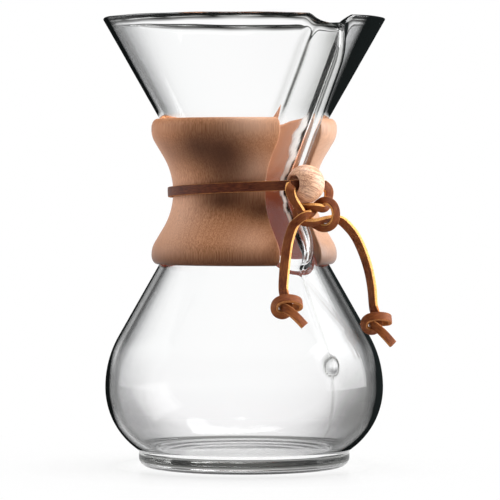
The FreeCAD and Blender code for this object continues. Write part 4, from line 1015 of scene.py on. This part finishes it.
def lace_end(rope, rope_face, tail, tail_face, lean):
    """The middle line, face directions and sizes of one end of the lace, and where its pieces meet."""
    knot = np.asarray(KNOT_CENTRE) + facing(rope, KNOT_TURN)
    end = np.asarray(tail[-1]) + facing(END_KNOT, KNOT_TURN, lean)
    points = np.concatenate([knot[:-1], np.asarray(tail, dtype=float)[:-1], end])
    tail_looks = facing(tail_face, TAIL_TURN)
    looks = np.concatenate([facing(rope_face, KNOT_TURN)[:-1], tail_looks[:-1],
                            facing(END_KNOT_FACE, KNOT_TURN, lean)])
    knots = len(knot) - 1
    tails = len(tail) - 1
    looks[knots + tails] = tail_looks[-1]
    wide = np.repeat([LACE_WIDE, KNOT_WIDE, LACE_WIDE, END_WIDE_FIRST, END_WIDE],
                     [2, knots - 2, tails, 2, len(END_KNOT) - 2])
    thick = np.repeat([LACE_THICK, KNOT_THICK, LACE_THICK, KNOT_THICK],
                      [2, knots - 2, tails, len(END_KNOT)])
    path = spline_points(points)
    face = spline_points(unit(looks))
    size = spline_points(np.stack([wide, thick, np.zeros(len(wide))], axis=-1))[:, :2]
    meet = [int(np.argmin(np.linalg.norm(path - points[k], axis=1))) for k in (knots, knots + tails)]
    return path, face, size, [0, *meet, len(path) - 1]


# %% The two ends of the lace
LACE_PIECES = []


def make_end(side, rope, rope_face, tail, tail_face, lean):
    """Knot strand, tail and end knot of one side, cut from one strip."""
    path, face, size, meet = lace_end(rope, rope_face, tail, tail_face, lean)
    pieces = []
    for label, start, stop in zip(("knot", "tail", "end_knot"), meet, meet[1:]):
        part = slice(start, stop + 1)
        piece = strip("lace_%s_%s" % (label, side), path[part], face[part], size[part])
        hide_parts("%s_%s" % (label, side))
        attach(piece, "brewer")
        pieces.append(piece)
    LACE_PIECES.extend(pieces)


make_end("left", LEFT_ROPE, LEFT_ROPE_FACE, LEFT_TAIL, LEFT_TAIL_FACE, 25)
make_end("right", RIGHT_ROPE, RIGHT_ROPE_FACE, RIGHT_TAIL, RIGHT_TAIL_FACE, 10)

# %% [markdown]
# ## The lace round the collar
#
# The same strip lies round the waist of the collar in a slightly tilted plane, higher at the bead. From
# its circle it leaves along a tangent for the bead's hole. The two runs pass each other inside the hole,
# and each comes out in front of the other one, where it turns down into the knot.

# %% The band
BAND_RADIUS = 35.65
BAND_SLOPE = math.tan(math.radians(2.8))
BAND_LEVEL = 132.54
BEAD_MIDDLE = (-1.0, -47.0)
BEAD_INSIDE = (5.0, -46.4)
BEAD_MOUTH = (8.8, -45.2)
PAST_BEAD = (9.9, -47.27)


def band_path():
    """Middle line of the band seen from above, from one mouth of the bead round to the other."""
    mouth = np.array(BEAD_MOUTH)
    start = math.acos(BAND_RADIUS / np.linalg.norm(mouth)) + math.atan2(mouth[0], -mouth[1])
    circle = np.linspace(start, 2 * math.pi - start, 181)
    touch = around(BAND_RADIUS, circle, 0)[:, :2]
    right = np.concatenate([line_points(BEAD_MIDDLE, BEAD_INSIDE, 6), line_points(BEAD_INSIDE, mouth, 5),
                            line_points(mouth, touch[0], 24)])
    left = right[::-1] * (-1, 1)
    return np.concatenate([[np.multiply(PAST_BEAD, (-1, 1))], right[2:], touch, left[:-2], [PAST_BEAD]])


def eased(values, reach):
    """Values averaged with their neighbours, the ends kept."""
    padded = np.pad(values, ((reach, reach), (0, 0)), mode="reflect", reflect_type="odd")
    kernel = np.hanning(2 * reach + 3)[1:-1]
    kernel = kernel / kernel.sum()
    return np.stack([np.convolve(column, kernel, mode="valid") for column in padded.T], axis=-1)


def make_band():
    """The band as one strip that stands upright in its tilted plane."""
    flat = band_path()
    length = lengths_along(flat)
    even = np.linspace(0, length[-1], 420)
    flat = np.stack([np.interp(even, length, flat[:, k]) for k in range(2)], axis=-1)
    flat = eased(flat, 5)
    level = BAND_LEVEL - flat[:, 1] * BAND_SLOPE
    path = np.concatenate([flat, level[:, None]], axis=1)
    run = unit(np.gradient(path, axis=0))
    face = unit(np.cross(run, np.array([0, BAND_SLOPE, 1.0])))
    outward = np.sign((face[:, :2] * flat).sum(axis=1, keepdims=True))
    size = np.tile((LACE_WIDE, LACE_THICK), (len(path), 1))
    piece = strip("lace_round_collar", path, face * outward, size)
    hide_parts("lace_band")
    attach(piece, "brewer")
    LACE_PIECES.append(piece)
    print("band: %.0f mm of lace" % length[-1])


make_band()

# %% [markdown]
# ## Leather
#
# The lace is cut from a dyed hide: its grain face is dark red brown and a little glossy, and its cut
# edges and underside show the undyed yellow fibre. The strip carries two maps of its own. The first says
# where on the section a point lies, which finds face, edge and underside, and the second follows the
# length, so that the grain runs along the lace however it turns.

# %% Lace leather
PALE_FIBRE = ((0.50, 0.20, 0.055), (0.76, 0.38, 0.12), (0.88, 0.54, 0.24))
WORN_FIBRE = ((0.20, 0.065, 0.020), (0.38, 0.15, 0.048), (0.55, 0.26, 0.09))
SUEDE = (0.30, 0.10, 0.03)
GRAIN_FACE = ((0.055, 0.011, 0.004), (0.125, 0.029, 0.008), (0.240, 0.068, 0.017), (0.31, 0.100, 0.026))
DARK_FACE = ((0.040, 0.009, 0.004), (0.075, 0.017, 0.007), (0.130, 0.035, 0.013), (0.15, 0.045, 0.016))


def leather_material(name, fibres, faces):
    """Dyed grain face in four tones and cut edges in three tones of fibre, with pores and streaks."""
    material, tree = new_material(name)
    place = node(tree, "TexCoord").outputs["Object"]
    section = split(tree, node(tree, "UVMap", uv_map="section").outputs[0])
    along = mapping(tree, node(tree, "UVMap", uv_map="along").outputs[0], Scale=(1, 0.16, 1))
    pores = noise(tree, place, 2300, 5)
    streaks = noise(tree, along, 22, 6)
    patches = noise(tree, place, 140, 3)
    across = maths(tree, "SUBTRACT", maths(tree, "ABSOLUTE", section["X"]), 0.05)
    edge = ramp(tree, maths(tree, "MULTIPLY_ADD", streaks, 0.10, across), [(0.895, 0.0), (0.945, 1.0)])
    under = ramp(tree, section["Y"], [(0.0, 1.0), (0.0001, 0.0)])
    face = ramp(tree, streaks, list(zip((0.3, 0.5, 0.72), faces)))
    face = blend_colours(tree, ramp(tree, patches, [(0.35, 0.0), (0.7, 0.45)]), face, faces[3])
    fibre = ramp(tree, pores, list(zip((0.3, 0.55, 0.75), fibres)))
    colour = blend_colours(tree, under, face, blend_colours(tree, 0.5, fibre, SUEDE))
    body = node(tree, "BsdfPrincipled", {
        "Base Color": blend_colours(tree, edge, colour, fibre),
        "Roughness": ramp(tree, edge, [(0.0, 0.5), (1.0, 0.8)]),
        "IOR": 1.45,
        "Specular IOR Level": 0.14,
        "Normal": bump(tree, maths(tree, "MULTIPLY_ADD", streaks, 0.8, pores), 0.35, 0.00025)})
    node(tree, "OutputMaterial", {0: body.outputs[0]})
    return material


FRESH_LEATHER = leather_material("lace_leather", PALE_FIBRE, GRAIN_FACE)
WORN_LEATHER = leather_material("lace_leather_worn", WORN_FIBRE, GRAIN_FACE)
DARK_LEATHER = leather_material("lace_leather_dark", WORN_FIBRE, DARK_FACE)
for piece in LACE_PIECES:
    leather = WORN_LEATHER if "end_knot" in piece.name else FRESH_LEATHER
    piece.data.materials.append(DARK_LEATHER if "round" in piece.name else leather)
print("leather on %d pieces" % len(LACE_PIECES))

# %% [markdown]
# ## Wood
#
# The two halves of the collar are turned from one block with its grain upright, split, and lightly
# varnished. The bead is a paler turned ball. Its solid is right as it comes from the model, so it stays,
# and only its finish is made here. Wood is a stack of yearly rings round a middle line, drawn out along
# the grain. A wave texture alone gives stripes that are too even, so the rings are pushed about by
# noise, and fine fibres, pores and broad clouds of tone are laid over them. On the collar, soft places
# of painted shade and painted light lie over the grain, its inner side is darker toward the bottom as
# painted shade, and the right half is a paler, glossier lit copy of the left.

# %% Wood grain group
def wood_group():
    """Colour, roughness and height of turned wood whose grain runs along the vector's Z axis."""
    group = bpy.data.node_groups.new("wood_grain", "ShaderNodeTree")
    for name, kind, value in (
            ("Vector", "Vector", (0, 0, 0)), ("Early Wood", "Color", (0.5, 0.3, 0.2, 1)),
            ("Late Wood", "Color", (0.35, 0.2, 0.1, 1)), ("Clouds", "Color", (0.4, 0.2, 0.1, 1)),
            ("Ring Density", "Float", 300.0), ("Fibre Density", "Float", 2500.0),
            ("Ring Strength", "Float", 0.5)):
        socket = group.interface.new_socket(name, in_out="INPUT", socket_type="NodeSocket" + kind)
        socket.default_value = value
    for name, kind in (("Color", "Color"), ("Roughness", "Float"), ("Height", "Float")):
        group.interface.new_socket(name, in_out="OUTPUT", socket_type="NodeSocket" + kind)
    given = group.nodes.new("NodeGroupInput").outputs
    late = given["Late Wood"]
    slow = mapping(group, given["Vector"], Scale=(1, 1, 0.12))
    fine = mapping(group, given["Vector"], Scale=(1, 1, 0.035))
    parts = split(group, given["Vector"])
    flat = node(group, "CombineXYZ", {0: parts["X"], 1: parts["Y"]}).outputs[0]
    away = vector_maths(group, "LENGTH", "Value", flat)
    pushed = maths(group, "MULTIPLY_ADD", noise(group, slow, 45, 3), 0.016, away)
    turns = maths(group, "FRACT", maths(group, "MULTIPLY", pushed, given["Ring Density"]))
    ring = ramp(group, turns, [(0.0, 0.0), (0.66, 0.12), (0.9, 1.0), (1.0, 0.0)])
    fibres = noise(group, fine, given["Fibre Density"], 4)
    pores = node(group, "TexVoronoi", {"Vector": fine, "Scale": 1500}).outputs["Distance"]
    pore = ramp(group, pores, [(0.06, 1.0), (0.2, 0.0)])
    ring_share = maths(group, "MULTIPLY", ring, given["Ring Strength"])
    colour = blend_colours(group, ring_share, given["Early Wood"], late)
    colour = blend_colours(group, ramp(group, fibres, [(0.36, 0.85), (0.60, 0.0)]), colour, late)
    cloud_share = ramp(group, noise(group, slow, 28, 2), [(0.4, 0.0), (0.75, 0.7)])
    colour = blend_colours(group, cloud_share, colour, given["Clouds"])
    colour = blend_colours(group, maths(group, "MULTIPLY", pore, 0.6), colour, late, "MULTIPLY")
    depth = maths(group, "MULTIPLY", pore, 0.8)
    height = maths(group, "SUBTRACT", maths(group, "MULTIPLY", fibres, 0.6), depth)
    result = group.nodes.new("NodeGroupOutput").inputs
    group.links.new(colour, result["Color"])
    group.links.new(maths(group, "MULTIPLY_ADD", fibres, 0.16, 0.34), result["Roughness"])
    group.links.new(height, result["Height"])
    return group


WOOD_GRAIN = wood_group()
print("wood grain: %d nodes" % len(WOOD_GRAIN.nodes))

# %% Wood materials
# Colours and places of painted shade and painted light on the collar, and a band of painted shade along
# its lower edge.
PAINTED_SHADE_COLOUR = (0.045, 0.014, 0.006)
PAINTED_LIGHT_COLOUR = (0.62, 0.400, 0.290)
# Bare inner wood: the upper colour is the bare wood, the lower one the same wood in painted shade.
BARE_AND_SHADED_WOOD = ((0.32, 0.040, 0.008), (0.52, 0.215, 0.100))
# The right half's paler, less red colours and its stronger gloss in GLOSS make a lit copy of the left
# half's wood: painted light.
COLLAR_COLOURS = {"left": ((0.54, 0.260, 0.132), (0.22, 0.078, 0.029), (0.31, 0.118, 0.047)),
                  "right": ((0.50, 0.290, 0.178), (0.22, 0.100, 0.050), (0.33, 0.165, 0.088))}
# A place that reaches 1000 mm sideways depends on the height alone: a band of painted shade along the
# lower edge.
PAINTED_FOOT_SHADE = ((0, 0, 95.5), (1000, 1000, 8.5), 0.9, PAINTED_SHADE_COLOUR)
PAINTED_LIGHT_AND_SHADE = {"left": (((-40, 9, 120), (13, 20, 30), 0.4, PAINTED_LIGHT_COLOUR),
                   ((-25.5, -36.4, 164.5), (14, 14, 7), 0.6, PAINTED_LIGHT_COLOUR),
                   ((-23.7, -34.1, 108), (12, 12, 9), 0.3, PAINTED_LIGHT_COLOUR),
                   ((-16.9, -30.1, 140.5), (10.5, 10.5, 10.5), 0.5, PAINTED_LIGHT_COLOUR),
                   ((-39.3, -14.7, 152.5), (14.5, 14.5, 11.2), 0.84, PAINTED_SHADE_COLOUR),
                   ((-32.3, -25.3, 150), (13, 13, 11.8), 0.84, PAINTED_SHADE_COLOUR),
                   ((-29.2, -22.8, 140), (12, 12, 10.5), 0.6, PAINTED_SHADE_COLOUR),
                   ((-40.5, 5, 150), (14, 14, 10), 0.4, PAINTED_SHADE_COLOUR),
                   ((-29, -20.5, 127.5), (14, 14, 6), 0.88, PAINTED_SHADE_COLOUR),
                   ((-14.5, -32.6, 123.5), (10, 10, 6), 0.8, PAINTED_SHADE_COLOUR), PAINTED_FOOT_SHADE),
          "right": (PAINTED_FOOT_SHADE,)}
GLOSS = {"left": 0.08, "right": 0.5}
RINGS_BESIDE = {"left": (0.012, 0.075, 0), "right": (-0.018, 0.071, 0.03)}
BEAD_COLOURS = ((0.73, 0.45, 0.285), (0.27, 0.095, 0.048), (0.51, 0.255, 0.150))


# Painted light and shade: soft darker and paler places laid over the wood's colour.
def paint_light_and_shade(tree, place, colour, light_and_shade):
    """A colour with darker and paler places laid over it.

    Each place is a point and a reach in millimetres, a strength and a colour. Its share is the strength
    times e to the minus square of the distance from the point, measured in reaches.
    """
    for point, reach, strength, other in light_and_shade:
        beside = vector_maths(tree, "SUBTRACT", 0, place, np.multiply(point, MM))
        beside = vector_maths(tree, "DIVIDE", 0, beside, np.multiply(reach, MM))
        squared = maths(tree, "POWER", vector_maths(tree, "LENGTH", "Value", beside), 2)
        fall = maths(tree, "EXPONENT", maths(tree, "MULTIPLY", squared, -1))
        colour = blend_colours(tree, maths(tree, "MULTIPLY", fall, strength), colour, other)
    return colour


def bare_inside_with_painted_shade(tree, place, colour):
    """Bare wood in place of a colour on the collar's inner side, darker and redder toward the bottom as
    painted shade.
    """
    level = maths(tree, "MULTIPLY", split(tree, place)["Z"], 5)
    bare = ramp(tree, level, [(0.61, BARE_AND_SHADED_WOOD[0]), (0.73, BARE_AND_SHADED_WOOD[1])])
    inside = node(tree, "Attribute", attribute_name="bare").outputs["Fac"]
    return blend_colours(tree, inside, colour, bare)


def wood_material(name, colours, rings, offset, turn=(0, 0, 0), strength=0.5, gloss=0.22, light_and_shade=()):
    """Turned wood: the offset sets the middle of the rings beside the piece, in metres."""
    material, tree = new_material(name)
    place = node(tree, "TexCoord").outputs["Object"]
    grain = node(tree, "Group", node_tree=WOOD_GRAIN, inputs={
        "Vector": mapping(tree, place, Location=offset, Rotation=turn), "Ring Density": rings,
        "Ring Strength": strength, "Early Wood": (*colours[0], 1), "Late Wood": (*colours[1], 1),
        "Clouds": (*colours[2], 1)}).outputs
    colour = grain["Color"]
    # Painted light and shade on the collar, then bare wood inside with painted shade toward the bottom.
    if light_and_shade:
        colour = bare_inside_with_painted_shade(tree, place, paint_light_and_shade(tree, place, colour, light_and_shade))
    body = node(tree, "BsdfPrincipled", {
        "Base Color": colour, "Roughness": grain["Roughness"], "IOR": 1.5, "Specular IOR Level": gloss,
        "Coat Weight": 0.3 * gloss, "Coat Roughness": 0.35,
        "Normal": bump(tree, grain["Height"], 0.2, 0.0001)})
    node(tree, "OutputMaterial", {0: body.outputs[0]})
    return material


def dress(label, material):
    """A carried-over node takes a material in all its slots."""
    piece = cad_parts[label]
    if not piece.data.materials:
        piece.data.materials.append(material)
    for slot in piece.material_slots:
        slot.material = material


for side, half in COLLAR.items():
    half.data.materials.append(wood_material(
        "collar_wood_" + side, COLLAR_COLOURS[side], 330, RINGS_BESIDE[side], strength=0.35,
        gloss=GLOSS[side], light_and_shade=PAINTED_LIGHT_AND_SHADE[side]))
dress("bead", wood_material("bead_wood", BEAD_COLOURS, 430, (-0.004, 0.040, -0.13),
                            turn=(0.35, 1.2, 0.2), strength=0.62, gloss=0.5))
print("wood: %d places in the left half's figure" % len(PAINTED_LIGHT_AND_SHADE["left"]))

# %% [markdown]
# ## Studio
#
# The object stands in a white room, so that the glass has white behind it and a dark band above to
# reflect. Most of the light comes from two soft fields at its sides, which only the rays that carry
# light can see: lamps as large and as strong would show as white squares in the glass. A few weak lamps
# give the wood and the leather their shape, and the pale floor keeps the shadow, with a painted shadow
# ring round the foot.

# %% World, floor and lamps
scene = bpy.context.scene
scene.view_settings.view_transform = "Standard"
RIGHT_LIGHT = 84
LEFT_LIGHT = -78
FLOOR_HALF = 3.0


def looked_at(tree):
    """1 for camera, glossy and transmission rays, which all see the white background."""
    rays = node(tree, "LightPath").outputs
    seen = maths(tree, "MAXIMUM", rays["Is Camera Ray"], rays["Is Glossy Ray"])
    return maths(tree, "MAXIMUM", seen, rays["Is Transmission Ray"])


def round_camera(turn, away, height):
    """A place at an angle in degrees round the axis, counted from straight behind the object."""
    angle = CAMERA_TURN + math.radians(turn)
    return (math.sin(angle) * away, math.cos(angle) * away, height)


def make_world():
    """White walls all round and a grey ceiling for the rays that look.

    The rays that only carry light see an even grey that is brighter overhead, and two soft bright fields
    at the sides: each is a ramp on the dot product of the direction with the field's middle.
    """
    world = bpy.data.worlds.new("studio")
    world.use_nodes = True
    tree = world.node_tree
    tree.nodes.clear()
    toward = node(tree, "TexCoord").outputs["Generated"]
    height = split(tree, toward)["Z"]
    room = ramp(tree, height, [(0.10, 1.0), (0.26, 0.30), (0.45, 0.06), (0.85, 0.30)])
    light = ramp(tree, maths(tree, "MULTIPLY_ADD", height, 0.5, 0.5),
                 [(0.3, 0.06), (0.5, 0.13), (0.75, 0.28), (1.0, 0.50)])
    for turn, strength in ((RIGHT_LIGHT, 8.8), (LEFT_LIGHT, 3.7)):
        middle = Vector(round_camera(turn, 1.0, 0.25)).normalized()
        share = vector_maths(tree, "DOT_PRODUCT", "Value", toward, middle)
        field = ramp(tree, share, [(0.76, 0.0), (0.92, 1.0)])
        light = maths(tree, "ADD", light, maths(tree, "MULTIPLY", field, strength))
    background = node(tree, "Background", {0: blend_colours(tree, looked_at(tree), light, room)})
    node(tree, "OutputWorld", {0: background.outputs[0]})
    scene.world = world


def make_floor():
    """A pale floor that turns to the white of the background away from the object, with a painted shadow
    ring just outside the foot.
    """
    corners = np.array([[-1, -1, 0], [1, -1, 0], [1, 1, 0], [-1, 1, 0]]) * FLOOR_HALF
    floor = mesh_from("floor", corners, [np.array([[0, 1, 2, 3]])])
    material, tree = new_material("floor_white")
    matte = node(tree, "BsdfPrincipled", {"Base Color": (0.5, 0.5, 0.5, 1), "Roughness": 0.25})
    light = node(tree, "Emission", {"Color": (1, 1, 1, 1)})
    away = vector_maths(tree, "LENGTH", "Value", node(tree, "TexCoord").outputs["Object"])
    # The dip at 62 mm from the axis paints a soft contact shadow round the foot.
    far = ramp(tree, away, [(0.05, 0.85), (0.062, 0.56), (0.08, 0.72), (0.11, 0.93), (0.2, 1.0)])
    share = maths(tree, "MULTIPLY", looked_at(tree), far)
    node(tree, "OutputMaterial", {0: blend_shaders(tree, share, matte.outputs[0], light.outputs[0])})
    floor.data.materials.append(material)


def lamp(name, place, aim, size, power):
    """A soft square lamp that faces a point."""
    data = bpy.data.lights.new(name, "AREA")
    data.shape = "RECTANGLE"
    data.size = size
    data.size_y = size
    data.energy = power
    look_from(new_object(name, data), place, aim)


make_world()
make_floor()
lamp("key_right", round_camera(RIGHT_LIGHT, 1.6, 0.55), (0, 0, 0.12), 1.5, 20)
lamp("side_left", round_camera(LEFT_LIGHT, 1.6, 0.55), (0, 0, 0.12), 1.5, 5)
lamp("overhead", round_camera(60, 0.25, 1.5), (0, 0, 0.1), 1.1, 20)
print("lights: two fields and three lamps")
